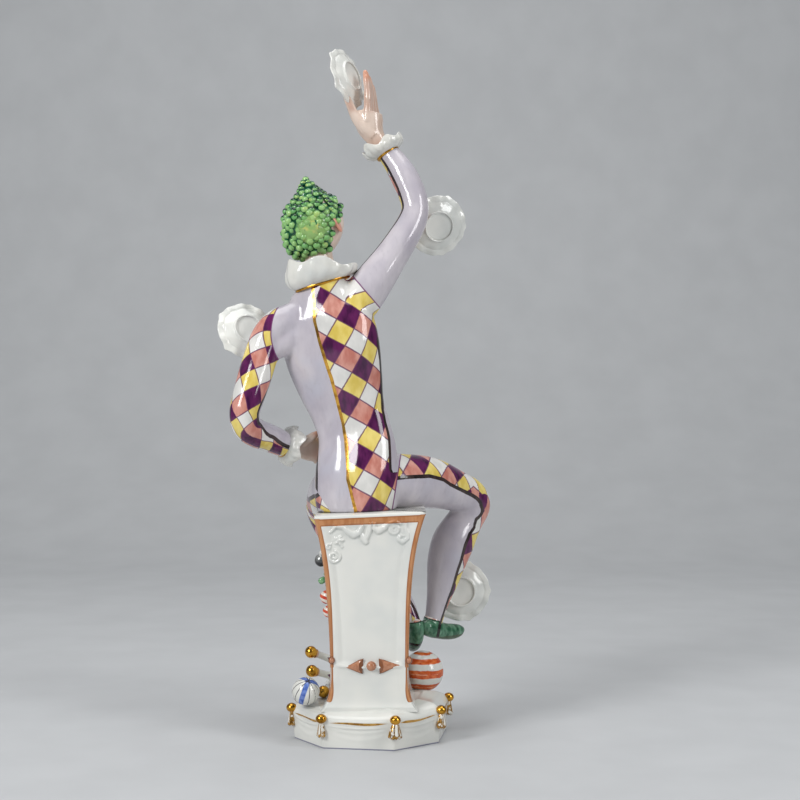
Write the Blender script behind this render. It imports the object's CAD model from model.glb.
import math

import bpy
import numpy as np
from mathutils import Matrix, Vector


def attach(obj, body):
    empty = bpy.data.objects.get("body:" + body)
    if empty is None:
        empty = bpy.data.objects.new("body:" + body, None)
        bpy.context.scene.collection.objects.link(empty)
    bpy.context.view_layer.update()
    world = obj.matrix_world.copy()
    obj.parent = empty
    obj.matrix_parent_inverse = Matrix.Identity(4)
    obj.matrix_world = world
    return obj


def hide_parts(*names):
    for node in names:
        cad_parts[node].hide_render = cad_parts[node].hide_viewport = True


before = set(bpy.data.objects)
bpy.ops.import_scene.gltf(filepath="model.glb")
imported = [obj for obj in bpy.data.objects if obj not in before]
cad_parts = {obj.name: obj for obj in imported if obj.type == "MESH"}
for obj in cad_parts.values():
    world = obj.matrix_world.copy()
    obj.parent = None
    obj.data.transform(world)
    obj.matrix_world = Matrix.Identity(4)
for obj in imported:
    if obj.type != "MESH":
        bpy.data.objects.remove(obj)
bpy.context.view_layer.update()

# Base: an eight-sided porcelain plinth, cast in one with the figure. Its top slopes up softly to the
# pedestal. A thin gilt line hangs in swags from corner to corner over modelled drapery, and a grey-blue
# line is painted round the foot.
MM = 0.001
BASE_RADIUS = 52.2
BASE_CORNERS = [13, 54.4, 107.8, 149.6, 193, 234.4, 287.8, 329.6]
CORNER_RISE = [2.2, 1.2, 0.6, 0.4, 0.2, -0.6, 0.0, 1.6]
BASE_PROFILE = [
    (0.0, 0.958), (0.5, 0.966), (4.0, 0.972), (8.0, 0.978), (12.0, 0.984), (15.0, 0.992), (17.2, 1.0),
    (18.6, 0.998), (20.0, 0.984), (21.4, 0.955), (22.8, 0.905), (23.9, 0.84), (24.6, 0.75), (25.1, 0.6),
    (25.4, 0.4), (25.5, 0.02),
]
SIDE_STEPS = 26


def fired(red, green, blue):
    """A fired colour as seen on the piece, 0 to 255 a channel, turned into light."""
    channel = [c / 255 for c in (red, green, blue)]
    return tuple(c / 12.92 if c < 0.04045 else ((c + 0.055) / 1.055) ** 2.4 for c in channel) + (1.0,)


WHITE = fired(226, 226, 220)
GOLD = fired(214, 160, 62)
DEEP_GOLD = fired(140, 92, 22)


class Enamel:
    """One fired finish: colours and gilding laid over white porcelain, with the glaze on top."""

    def __init__(self, name):
        self.material = bpy.data.materials.new(name)
        self.material.use_nodes = True
        self.nodes = self.material.node_tree.nodes
        self.links = self.material.node_tree.links
        self.nodes.clear()
        self.glaze = self.nodes.new("ShaderNodeBsdfPrincipled")
        output = self.nodes.new("ShaderNodeOutputMaterial")
        self.links.new(self.glaze.outputs[0], output.inputs[0])
        self.place = self.nodes.new("ShaderNodeTexCoord").outputs["Object"]

    def feed(self, socket, value):
        if isinstance(value, bpy.types.NodeSocket):
            self.links.new(value, socket)
        else:
            socket.default_value = value

    def sum(self, operation, *values):
        node = self.nodes.new("ShaderNodeMath")
        node.operation = operation
        for socket, value in zip(node.inputs, values):
            self.feed(socket, value)
        return node.outputs[0]

    def marks(self, name):
        """The three guide lines that were marked on the mesh under this name."""
        guide = self.nodes.new("ShaderNodeAttribute")
        guide.attribute_name = name
        return guide.outputs["Vector"]

    def parts(self, vector):
        node = self.nodes.new("ShaderNodeSeparateXYZ")
        self.feed(node.inputs[0], vector)
        return node.outputs

    def edge(self, value, low, high):
        """0 below low, 1 above high, and a soft edge between; high may be under low."""
        node = self.nodes.new("ShaderNodeMapRange")
        node.interpolation_type = "SMOOTHSTEP"
        self.feed(node.inputs["Value"], value)
        node.inputs["From Min"].default_value = min(low, high)
        node.inputs["From Max"].default_value = max(low, high)
        node.inputs["To Min"].default_value = 0.0 if low < high else 1.0
        node.inputs["To Max"].default_value = 1.0 if low < high else 0.0
        return node.outputs[0]

    def lay(self, under, over, cover):
        """Lays one colour over another."""
        node = self.nodes.new("ShaderNodeMix")
        node.data_type = "RGBA"
        self.feed(node.inputs["Factor"], cover)
        self.feed(node.inputs[6], under)
        self.feed(node.inputs[7], over)
        return node.outputs[2]

    def choose(self, under, over, cover):
        """Takes one set of guide lines or the other."""
        node = self.nodes.new("ShaderNodeMix")
        node.data_type = "VECTOR"
        self.feed(node.inputs["Factor"], cover)
        self.feed(node.inputs[4], under)
        self.feed(node.inputs[5], over)
        return node.outputs[1]

    def cloud(self, size, detail=2.0, stretch=(1, 1, 1), turn=(0, 0, 0)):
        """Soft unevenness of about this size in millimetres, 0 to 1."""
        mapping = self.nodes.new("ShaderNodeMapping")
        mapping.inputs["Scale"].default_value = stretch
        mapping.inputs["Rotation"].default_value = [math.radians(a) for a in turn]
        self.feed(mapping.inputs["Vector"], self.place)
        noise = self.nodes.new("ShaderNodeTexNoise")
        noise.inputs["Scale"].default_value = 1000 / size
        noise.inputs["Detail"].default_value = detail
        self.feed(noise.inputs["Vector"], mapping.outputs[0])
        return noise.outputs["Fac"]

    def brushed(self, pale, dark, size=5, stretch=(1, 1, 0.25), turn=(0, 0, 0), low=0.35, high=0.7):
        """A colour put on with a brush, thicker and thinner in streaks."""
        return self.lay(pale, dark, self.edge(self.cloud(size, 3.0, stretch, turn), low, high))

    def finish(self, colour, roughness=0.1, gilding=None, ripple=0.25, ripple_size=14):
        """Fires it: the colour, the gloss of the glaze, and where gold leaf lies."""
        self.feed(self.glaze.inputs["Base Color"], colour)
        self.glaze.inputs["IOR"].default_value = 1.52
        haze = self.edge(self.cloud(9, 4.0), 0.3, 0.8)
        gloss = self.sum("MULTIPLY_ADD", haze, 0.05, roughness)
        if gilding is None:
            self.feed(self.glaze.inputs["Roughness"], gloss)
        else:
            self.feed(self.glaze.inputs["Metallic"], gilding)
            self.feed(self.glaze.inputs["Roughness"], self.sum("MULTIPLY_ADD", gilding, 0.1, gloss))
        bump = self.nodes.new("ShaderNodeBump")
        bump.inputs["Strength"].default_value = ripple
        bump.inputs["Distance"].default_value = 0.5 * MM
        uneven = self.sum("MULTIPLY_ADD", self.cloud(ripple_size, 1.0), 1.0, self.sum("MULTIPLY", self.cloud(2.5, 2.0), 0.04))
        self.feed(bump.inputs["Height"], uneven)
        self.links.new(bump.outputs[0], self.glaze.inputs["Normal"])
        return self.material


def white_ware(name, tint=WHITE, roughness=0.09):
    """Plain glazed porcelain: white, very slightly uneven in tone where the glaze lies thick."""
    enamel = Enamel(name)
    pooled = enamel.edge(enamel.cloud(22, 2.0), 0.35, 0.75)
    return enamel.finish(enamel.lay(tint, fired(214, 216, 212), pooled), roughness)


def gilt_ware(name, roughness=0.12):
    """Burnished gold over modelled porcelain, deeper in tone where it is thin."""
    enamel = Enamel(name)
    worn = enamel.edge(enamel.cloud(4, 4.0), 0.45, 0.75)
    return enamel.finish(enamel.lay(GOLD, DEEP_GOLD, worn), roughness, gilding=1.0, ripple=0.4, ripple_size=5)


def cast_piece(name, points, faces, material, node="figurine"):
    """Makes one piece of the figurine from points in millimetres. It stands for the plain solid."""
    mesh = bpy.data.meshes.new(name)
    mesh.from_pydata((np.asarray(points, float) * MM).tolist(), [], [tuple(map(int, f)) for f in faces])
    mesh.polygons.foreach_set("use_smooth", [True] * len(mesh.polygons))
    mesh.materials.append(material)
    mesh.update()
    piece = bpy.data.objects.new(name, mesh)
    bpy.context.collection.objects.link(piece)
    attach(piece, "root")
    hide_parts(node)
    return piece


def mark(piece, name, *lines):
    """Marks up to three guide lines on a piece, one number a point each, for the painter to follow."""
    count = len(piece.data.vertices)
    columns = [np.broadcast_to(np.asarray(line, float), (count,)) for line in lines]
    columns += [np.zeros(count)] * (3 - len(columns))
    attribute = piece.data.attributes.new(name, "FLOAT_VECTOR", "POINT")
    attribute.data.foreach_set("vector", np.stack(columns, 1).astype(np.float32).ravel())


def rings_to_faces(rings, around, first=0, capped=True):
    """The faces that join rings of points, each ring round the piece, with flat ends."""
    r, c = np.mgrid[0:rings - 1, 0:around]
    a = first + r * around + c
    b = first + r * around + (c + 1) % around
    faces = np.stack([a, b, b + around, a + around], -1).reshape(-1, 4).tolist()
    if capped:
        faces.append(list(range(first + around - 1, first - 1, -1)))
        faces.append(list(range(first + (rings - 1) * around, first + rings * around)))
    return faces


def base_corner(index):
    angle = math.radians(BASE_CORNERS[index % 8])
    return np.array([math.cos(angle), math.sin(angle)]) * BASE_RADIUS


def smooth(value, low, high):
    """0 below low, 1 above high, with a soft change between."""
    t = np.clip((np.asarray(value, float) - low) / (high - low), 0, 1)
    return t * t * (3 - 2 * t)


def make_base():
    profile = np.array(BASE_PROFILE)
    t = np.linspace(0, len(profile) - 1, 110)
    heights = np.interp(t, np.arange(len(profile)), profile[:, 0])
    spreads = np.interp(t, np.arange(len(profile)), profile[:, 1])
    points, offset, half = [], [], []
    for height, spread in zip(heights, spreads):
        for corner in range(8):
            for step in range(SIDE_STEPS):
                along = step / SIDE_STEPS
                edge = base_corner(corner) * (1 - along) + base_corner(corner + 1) * along
                rise = CORNER_RISE[corner] * (1 - along) + CORNER_RISE[(corner + 1) % 8] * along
                sag = math.sin(math.pi * along)
                lifted = smooth(height, 9, 17) * (rise - 0.9 * sag)
                drape = 0.0
                for fold, (drop, depth) in enumerate([(2.4, 0.5), (5.0, 0.32), (8.4, 0.2)]):
                    ridge = 17.2 - drop * (0.6 + 0.75 * sag)
                    drape += depth * math.exp(-(((height - ridge) / (0.8 + 0.3 * fold)) ** 2)) * sag ** 0.7
                edge = edge * (spread + (drape - 0.35 * sag * smooth(height, 4, 12)) / BASE_RADIUS)
                points.append((edge[0], edge[1], height + lifted * (1 if height < 24.9 else 0.5)))
                offset.append(height - 17.3 - 0.25 * math.sin(3 * math.pi * along + corner))
                reach = min(along, 1 - along) * 40
                half.append(0.78 * smooth(reach, 2.6, 10) * (0.85 + 0.25 * math.sin(7 * along + 2 * corner)) - 0.02)
    enamel = Enamel("base_glaze")
    guide = enamel.parts(enamel.marks("gilt_line"))
    gilt = enamel.edge(enamel.sum("SUBTRACT", guide[1], enamel.sum("ABSOLUTE", guide[0])), -0.06, 0.1)
    height = enamel.sum("MULTIPLY", enamel.parts(enamel.place)[2], 1 / MM)
    foot = enamel.sum("MULTIPLY", enamel.edge(height, 1.0, 0.45), 0.8)
    colour = enamel.lay(WHITE, fired(211, 212, 207), enamel.edge(enamel.cloud(26, 2.0), 0.35, 0.75))
    colour = enamel.lay(colour, fired(110, 112, 150), foot)
    gold = enamel.lay(fired(206, 160, 84), fired(160, 112, 44), enamel.edge(enamel.cloud(3, 3.0), 0.4, 0.7))
    colour = enamel.lay(colour, gold, gilt)
    gilding = enamel.sum("MULTIPLY", gilt, 0.75)
    material = enamel.finish(colour, 0.09, gilding)
    base = cast_piece("base", points, rings_to_faces(len(heights), 8 * SIDE_STEPS), material)
    mark(base, "gilt_line", offset, half)


make_base()

# Tassels: a gilt bead sits on each corner of the base, and under it hangs a short tassel of splayed
# threads. Both are modelled by hand and stuck on wet. The threads are left white down the middle and
# gilded along their sides and their scalloped hem.
BEAD_SIZE = (3.45, 3.45, 2.95)
TASSEL_LENGTH = 9.4
TASSEL_PLUMPNESS = [1.15, 1.0, 1.0, 1.0, 1.0, 0.95, 1.45, 1.25]


def blob(centre, size, around=36, rings=24, shape=None):
    """A rounded lump as rings of points, pole to pole along z."""
    v, u = np.meshgrid(np.linspace(0.0, math.pi, rings), np.linspace(0, 2 * math.pi, around, endpoint=False), indexing="ij")
    v = np.clip(v, 1e-3, math.pi - 1e-3)
    unit = np.stack([np.sin(v) * np.cos(u), np.sin(v) * np.sin(u), -np.cos(v)], -1).reshape(-1, 3)
    stretch = np.ones(len(unit)) if shape is None else shape(unit)
    return unit * np.asarray(size, float) * stretch[:, None] + np.asarray(centre, float), unit


def make_tassels():
    bead_points, bead_faces, tassel_points, tassel_faces, strands = [], [], [], [], []
    for corner, rise in enumerate(CORNER_RISE):
        x, y = base_corner(corner)
        angle = math.radians(BASE_CORNERS[corner])
        points, _ = blob((x * 1.003, y * 1.003, 19.6 + rise), BEAD_SIZE, 28, 18)
        bead_faces += rings_to_faces(18, 28, len(bead_points))
        bead_points += points.tolist()
        around, rings = 42, 22
        first = len(tassel_points)
        plump = TASSEL_PLUMPNESS[corner]
        for ring in range(rings):
            t = ring / (rings - 1)
            radius = plump * (1.3 + 1.9 * t ** 0.8 - 1.5 * smooth(t, 0.86, 1.0) * t)
            for step in range(around):
                turn = 2 * math.pi * step / around
                flute = math.cos(7 * turn)
                reach = radius * (1 + 0.1 * flute * smooth(t, 0.1, 0.6))
                hem = 0.5 * flute * smooth(t, 0.5, 0.9)
                out = reach * math.cos(turn) * 0.8 + 0.15
                side = reach * math.sin(turn)
                drop = 17.6 + rise - TASSEL_LENGTH * t - hem
                tassel_points.append((x + out * math.cos(angle) - side * math.sin(angle),
                                      y + out * math.sin(angle) + side * math.cos(angle), drop))
                strands.append((t, math.cos(turn), flute))
        tassel_faces += rings_to_faces(rings, around, first)
    cast_piece("tassel_beads", bead_points, bead_faces, gilt_ware("bead_gilding"))
    enamel = Enamel("tassel_gilding")
    drop, middle, flute = enamel.parts(enamel.marks("strands"))
    hem = enamel.edge(drop, 0.72, 0.84)
    sides = enamel.edge(middle, 0.86, 0.66)
    creases = enamel.edge(flute, -0.3, -0.7)
    worn = enamel.edge(enamel.cloud(2.2, 3.0), 0.38, 0.5)
    gilt = enamel.sum("MULTIPLY", enamel.sum("MAXIMUM", enamel.sum("MAXIMUM", hem, sides), creases), worn)
    gilt = enamel.sum("MULTIPLY", gilt, enamel.edge(drop, 0.02, 0.12))
    gold = enamel.lay(fired(205, 155, 70), fired(150, 104, 40), enamel.edge(enamel.cloud(2, 2.0), 0.4, 0.7))
    material = enamel.finish(enamel.lay(WHITE, gold, gilt), 0.12, enamel.sum("MULTIPLY", gilt, 0.85))
    tassels = cast_piece("tassels", tassel_points, tassel_faces, material)
    mark(tassels, "strands", *np.array(strands).T)


make_tassels()

# Pedestal: a tall four-sided seat that flares to the top, cast in one with the base. Its back is a sunk
# panel with modelled scrolls under the seat, framed by a brown painted border. Lower down a ball
# between two darts crosses it, with a bead on each edge.
SEAT_HEIGHT = 146.5
SEAT_TILT = 0.045
PANEL_BACK = -35.0
BELT_HEIGHT = 51.8
SCROLL_STROKES = [
    # x, z and half width of each stroke, in the order the modeller laid them on
    ([(-25.0, 135.8, 0.8), (-21.5, 139.6, 1.1), (-17.0, 138.6, 1.5), (-13.5, 135.6, 2.0), (-10.0, 133.6, 2.4),
      (-7.0, 135.0, 2.0), (-5.0, 139.4, 1.1)], 1.9),
    ([(2.6, 140.6, 0.9), (2.8, 137.4, 1.7), (5.4, 135.6, 2.3), (8.6, 137.2, 2.0), (11.8, 139.8, 1.4),
      (15.8, 141.2, 1.1), (19.0, 139.4, 0.8)], 1.9),
    ([(0.2, 140.4, 1.0), (-0.4, 136.4, 1.8), (-1.4, 133.4, 1.7), (-2.6, 130.2, 1.3)], 1.5),
    ([(-5.4, 134.0, 1.0), (-4.4, 131.0, 1.6), (-2.6, 129.0, 1.9)], 1.3),
    ([(22.8, 140.0, 0.8), (22.6, 136.8, 1.2), (23.6, 133.6, 1.5), (23.4, 130.2, 1.5), (20.6, 127.8, 1.5),
      (18.2, 129.4, 1.2), (19.2, 132.0, 1.0), (21.2, 131.6, 0.8)], 1.3),
    ([(-17.6, 126.4, 1.0), (-18.4, 129.0, 0.9)], 1.0),
]
ROSETTE = (-19.4, 130.6, 3.6)
COILS = [
    # centre x, z, outer radius, stroke half width, turns, starting angle in degrees, hand
    (-22.6, 120.2, 4.2, 1.1, 1.7, 75, -1),
    (15.6, 136.2, 3.6, 1.15, 1.8, 110, 1),
    (-25.8, 126.6, 2.0, 0.8, 1.0, 60, 1),
]


def pedestal_half(z, to_left):
    """Half the pedestal's width at a height; its left side flares more slowly than its right."""
    z = np.asarray(z, float)
    flare = np.where(to_left, 43.0, 29.0)
    return 23.8 + 12.2 * np.exp(-(SEAT_HEIGHT - z) / flare) + 4.5 * np.exp(-(z - 25) / 7)


def stroke_relief(x, z, stroke, height):
    """A raised stroke of slip: round in section, fading where it is thin."""
    raised = np.zeros_like(x)
    stroke = np.array(stroke, float)
    fine = np.linspace(0, len(stroke) - 1, 10 * len(stroke))
    path = np.stack([np.interp(fine, np.arange(len(stroke)), stroke[:, k]) for k in range(3)], 1)
    for px, pz, half in path:
        near = 1 - ((x - px) ** 2 + (z - pz) ** 2) / half ** 2
        raised = np.maximum(raised, height * min(1.0, half / 1.5) * np.sqrt(np.clip(near, 0, None)))
    return raised


def scroll_relief(x, z):
    """The scrolls under the seat: how far the back's surface stands out at each point."""
    raised = np.zeros_like(x)
    for stroke, height in SCROLL_STROKES:
        raised = np.maximum(raised, stroke_relief(x, z, stroke, height))
    for cx, cz, radius, half, turns, start, hand in COILS:
        t = np.linspace(0, 1, 26)
        angle = math.radians(start) + hand * turns * 2 * math.pi * t
        reach = radius * (1 - 0.82 * t)
        coil = np.stack([cx + reach * np.cos(angle), cz + reach * np.sin(angle), half * (1 - 0.35 * t)], 1)
        raised = np.maximum(raised, stroke_relief(x, z, coil, 1.4))
    rx, rz, size = ROSETTE
    turn = np.arctan2(z - rz, x - rx)
    away = np.hypot(x - rx, z - rz)
    petals = 1.6 * np.sqrt(np.clip(1 - (away / (size * (0.86 + 0.14 * np.cos(5 * turn)))) ** 2, 0, None))
    petals *= 0.75 + 0.25 * np.cos(5 * turn) * smooth(away, 0.8, 2.2)
    heart = 2.0 * np.sqrt(np.clip(1 - (away / 1.3) ** 2, 0, None))
    return np.maximum(raised, np.maximum(petals, heart))


def make_pedestal():
    back, side, front, rings = 150, 30, 48, 300
    along = np.concatenate([np.linspace(-1, 1, back, endpoint=False), np.linspace(-1, 1, side, endpoint=False),
                            np.linspace(1, -1, front, endpoint=False), np.linspace(1, -1, side, endpoint=False)])
    face = np.concatenate([np.zeros(back), np.ones(side), np.full(front, 2), np.full(side, 3)])
    low = 22.0
    t = np.linspace(0, 1, rings)
    height = low + (SEAT_HEIGHT - low) * t
    z, u = np.meshgrid(height, along, indexing="ij")
    which = np.broadcast_to(face, z.shape)
    left, right = pedestal_half(z, True), pedestal_half(z, False)
    front_y = 12 + 8 * np.exp(-(SEAT_HEIGHT - z) / 29)
    x = np.select([which == 0, which == 1, which == 2], [(u * (left + right) + right - left) / 2, right,
                                                        (u * (left + right) + right - left) / 2], -left)
    y = np.select([which == 0, which == 2], [np.full_like(z, PANEL_BACK), front_y], (u * (front_y - PANEL_BACK) + front_y + PANEL_BACK) / 2)
    from_edge = np.where(which % 2 == 0, np.minimum(x + left, right - x), np.minimum(y - PANEL_BACK, front_y - y))
    from_top = SEAT_HEIGHT - z
    corner = 1.1 * np.clip(1 - from_edge / 1.6, 0, 1) ** 2
    ridge_line = BELT_HEIGHT - 1.6 * np.clip(1 - (x / 24) ** 2, 0, 1)
    above = smooth(z, ridge_line - 0.4, ridge_line + 3.5)
    inset = smooth(from_edge, 3.6, 8.5) * smooth(from_top, 5.0, 9.0) * above
    gutter = np.exp(-((from_edge - 8.2) / 1.7) ** 2) * above * smooth(from_top, 8, 16)
    belt = 0.8 * np.exp(-((z - ridge_line + 0.6) / 1.2) ** 2) * smooth(from_edge, 2, 7)
    depth = -1.0 * inset - 0.35 * gutter + belt - 0.5 * smooth(BELT_HEIGHT - z, 1, 8) * smooth(from_edge, 3, 7) * smooth(z, 28, 38)
    relief = np.zeros_like(z)
    on_back = which == 0
    relief[on_back] = scroll_relief(x[on_back], z[on_back])
    depth = depth + np.where(on_back, relief * 0.95, 0)
    lip = 1.3 * (1 - np.sqrt(np.clip(1 - np.clip(1 - from_top / 1.8, 0, 1) ** 2, 0, 1)))
    inward = corner * 0.7 + lip
    x = x - np.sign(x) * np.where(which % 2 == 1, inward - depth * 0.6, corner * 0.5)
    y = y + np.select([on_back, which == 2], [inward - depth, -inward + depth * 0.7], 0)
    foot = 2.6 * np.exp(-np.clip(z - 25.0, 0, None) / 2.4)
    y = y + np.select([on_back, which == 2], [-foot, foot], 0)
    lifted = z + SEAT_TILT * x * smooth(t, 0.2, 1)[:, None]
    points = np.stack([x, y, lifted], -1).reshape(-1, 3)
    around = len(along)
    faces = rings_to_faces(rings, around)
    seat_width = np.where(z > 140, 3.9, 3.3) - 1.0 * smooth(from_top, 30, 95)
    lower = smooth(BELT_HEIGHT - 2 - z, 0, 1.5)
    foot_flare = 2.3 * smooth(44 - z, 0, 14) * smooth(z, 25.5, 29.5)
    from_line = np.abs(from_edge - 1.1 - 0.02 * (BELT_HEIGHT - z) * lower)
    border = np.where(z > BELT_HEIGHT - 2, seat_width - from_edge, 0.75 + foot_flare * 0.42 - from_line)
    top_band = np.minimum(from_top - 2.0, 6.6 - from_top)
    border = np.maximum(border * smooth(from_top, 1.4, 2.2), np.where(from_edge > 1.0, top_band, -1))
    border = np.where(from_top < 2.0, np.minimum(border, from_top - 2.0), border)
    border = np.where(z < 28.0, np.minimum(border, z - 28.0), border)
    enamel = Enamel("pedestal_glaze")
    border_guide, relief_guide, _ = enamel.parts(enamel.marks("border"))
    painted = enamel.edge(border_guide, -0.12, 0.14)
    stroke = enamel.edge(border_guide, 1.15, 0.35)
    streak = enamel.edge(enamel.cloud(3.0, 3.0, (1, 1, 0.2)), 0.35, 0.7)
    brown = enamel.lay(enamel.lay(fired(196, 140, 96), fired(176, 116, 72), streak), fired(152, 92, 50), enamel.sum("MULTIPLY", stroke, 0.75))
    pooled = enamel.edge(enamel.cloud(24, 2.0), 0.35, 0.75)
    colour = enamel.lay(WHITE, fired(215, 217, 213), pooled)
    colour = enamel.lay(colour, fired(200, 206, 200), enamel.sum("MULTIPLY", relief_guide, 0.45))
    colour = enamel.lay(colour, brown, painted)
    pedestal = cast_piece("pedestal", points, faces, enamel.finish(colour, 0.09))
    shade = np.where(on_back, smooth(relief, 0.9, 0.0) * (scroll_relief(x, z + 0.9) > 0.2), 0)
    mark(pedestal, "border", border.ravel(), shade.ravel())
    return pedestal


make_pedestal()

DART_CLAY = [(-15.6, -5.3, -1), (18.6, 6.6, 1)]


def make_belt():
    """The ball, the two darts and the two edge beads that cross the foot of the back."""
    enamel = Enamel("belt_enamel")
    pale = enamel.brushed(fired(188, 134, 104), fired(160, 104, 74), 3, (1, 1, 1))
    up = enamel.sum("MULTIPLY", enamel.parts(enamel.place)[2], 1 / MM)
    rim = enamel.edge(enamel.parts(enamel.marks("edge"))[0], 0.78, 0.92)
    brown = enamel.finish(enamel.lay(pale, fired(132, 82, 54), rim), 0.1, ripple=0.2, ripple_size=4)
    points, unit = blob((0.8, PANEL_BACK - 0.3, BELT_HEIGHT - 1.2), (3.1, 2.9, 3.1))
    ball = cast_piece("belt_ball", points, rings_to_faces(24, 36), brown)
    mark(ball, "edge", np.hypot(unit[:, 0], unit[:, 2]) * 0.8)
    for number, (tip, foot, hand) in enumerate(DART_CLAY):
        along, turn = np.meshgrid(np.linspace(0, 1, 26), np.linspace(0, 2 * math.pi, 28, endpoint=False), indexing="ij")
        half = 0.35 + 4.6 * along ** 1.15
        bite = 2.2 * smooth(along, 0.72, 1.0) * (np.cos(turn) ** 2)
        x = tip + (foot - tip) * along - np.sign(foot - tip) * (2.0 * smooth(along, 0.8, 1) - bite * 0.2) * np.cos(turn) ** 2
        x = x + np.sign(foot - tip) * 1.2 * smooth(along, 0.8, 1) * np.abs(np.sin(turn)) ** 3
        zz = BELT_HEIGHT - 1.3 + 0.6 * hand * (1 - along) + half * np.sin(turn)
        yy = PANEL_BACK - 0.2 - (0.45 + 0.75 * along * np.sqrt(1 - 0.8 * np.sin(turn) ** 2)) * np.cos(turn)
        dart = cast_piece("belt_dart_left" if hand < 0 else "belt_dart_right", np.stack([x, yy, zz], -1).reshape(-1, 3),
                          rings_to_faces(26, 28), brown)
        mark(dart, "edge", np.maximum(smooth(np.abs(np.sin(turn)), 0.5, 1.0), smooth(along, 0.8, 1)).ravel())
    for name, x in (("edge_bead_left", -24.2), ("edge_bead_right", 24.6)):
        points, unit = blob((x, PANEL_BACK + 0.2, BELT_HEIGHT + 2.4), (2.1, 2.3, 2.5))
        bead = cast_piece(name, points, rings_to_faces(24, 36), brown)
        mark(bead, "edge", smooth(np.hypot(unit[:, 0], unit[:, 2]), 0.35, 0.75))


make_belt()

# Juggling things at the foot: two balls and three clubs lie on the base against the pedestal. They are
# modelled separately and stuck on wet, and their stripes and gilding are painted after the first firing.
STRIPED_BALL = ((34.3, 24.0, 36.7), 13.6)
BLUE_BALL = ((-41.3, -22.0, 32.3), 8.9)
BLUE_BALL_POLE = (0.22, -0.54, 0.81)
CLUBS = [((-39.3, 2, 53.2), (-12, 20, 40)), ((-38.4, -3, 41.7), (-12, 22, 30)), ((-30.7, -8, 29.2), (-26, 32, 27))]


def make_striped_ball():
    centre, radius = STRIPED_BALL
    points, unit = blob(centre, (radius,) * 3, 72, 48)
    enamel = Enamel("orange_striped_glaze")
    height = enamel.parts(enamel.marks("height"))[0]
    wander = enamel.sum("MULTIPLY_ADD", enamel.cloud(7, 2.0, (1, 1, 1)), 2.2, -1.1)
    level = enamel.sum("ADD", height, wander)
    painted, thin = None, None
    for low, high in ((11.9, 12.9), (6.3, 9.3), (-2.9, 2.2), (-10.8, -6.9)):
        middle, half = (low + high) / 2, (high - low) / 2
        away = enamel.sum("ABSOLUTE", enamel.sum("SUBTRACT", level, middle))
        band = enamel.edge(away, half + 0.25, half - 0.15)
        gap = enamel.edge(away, 0.55, 0.15) if half > 1.6 else enamel.edge(away, 0.01, 0.0)
        painted = band if painted is None else enamel.sum("MAXIMUM", painted, band)
        thin = gap if thin is None else enamel.sum("MAXIMUM", thin, gap)
    orange = enamel.brushed(fired(226, 120, 62), fired(196, 76, 22), 3.5, (1, 1, 1.6), low=0.3, high=0.62)
    broken = enamel.sum("MULTIPLY", thin, enamel.edge(enamel.cloud(4, 2.0), 0.45, 0.6))
    orange = enamel.lay(orange, fired(232, 178, 140), enamel.sum("MULTIPLY", broken, 0.8))
    colour = enamel.lay(enamel.lay(WHITE, fired(214, 214, 208), enamel.edge(enamel.cloud(15), 0.4, 0.7)), orange, painted)
    ball = cast_piece("orange_striped_ball", points, rings_to_faces(48, 72), enamel.finish(colour, 0.08))
    mark(ball, "height", unit[:, 2] * radius)


def make_blue_ball():
    centre, radius = BLUE_BALL
    points, unit = blob(centre, (radius,) * 3, 96, 64)
    pole = np.array(BLUE_BALL_POLE) / np.linalg.norm(BLUE_BALL_POLE)
    across = np.cross(pole, (1.0, 0.0, 0.2))
    across /= np.linalg.norm(across)
    over = np.cross(pole, across)
    a, b = unit @ across, unit @ over
    ring = np.maximum(np.hypot(a, b), 1e-6)
    bands = [math.radians(d) for d in (38, 158, 278)]
    wide = np.max([(a * math.cos(d) + b * math.sin(d)) / ring for d in bands], 0)
    lines = [math.radians(d) for d in (8, 68, 98, 128, 188, 218, 248, 308, 338)]
    side = [np.where(a * math.cos(d) + b * math.sin(d) > 0, np.abs(b * math.cos(d) - a * math.sin(d)), 9.0) for d in lines]
    enamel = Enamel("blue_striped_glaze")
    band, line, _ = enamel.parts(enamel.marks("meridians"))
    blue = enamel.brushed(fired(112, 138, 205), fired(52, 84, 168), 3, (1, 1, 1))
    colour = enamel.lay(WHITE, fired(212, 212, 206), enamel.edge(enamel.cloud(12), 0.4, 0.7))
    colour = enamel.lay(colour, blue, enamel.edge(band, -0.25, 0.15))
    colour = enamel.lay(colour, fired(52, 50, 62), enamel.edge(line, 0.33, 0.18))
    ball = cast_piece("blue_striped_ball", points, rings_to_faces(64, 96), enamel.finish(colour, 0.08))
    width = 1.55 - ring * radius * np.sqrt(np.clip(1 - wide ** 2, 0, 1))
    mark(ball, "meridians", np.where(wide > 0, width, -1.0), np.min(side, 0) * radius)


def upright(axis, hint):
    """Side and depth directions at right angles to an axis, the depth leaning toward the hint."""
    axis = np.asarray(axis, float) / np.linalg.norm(axis)
    depth = np.asarray(hint, float) - np.dot(hint, axis) * axis
    depth /= np.linalg.norm(depth)
    return axis, np.cross(axis, depth), depth


def thrown(profile, foot, axis, around=48, hint=(0, 0, 1)):
    """A turned form: a profile of (radius, height) spun round an axis that starts at its foot."""
    axis, side, depth = upright(axis, hint)
    profile = np.asarray(profile, float)
    turn = np.linspace(0, 2 * math.pi, around, endpoint=False)
    ring = np.cos(turn)[:, None] * side + np.sin(turn)[:, None] * depth
    points = profile[:, 0, None, None] * ring[None] + profile[:, 1, None, None] * axis
    return (points + np.asarray(foot, float)).reshape(-1, 3), np.tile(turn, len(profile))


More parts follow.
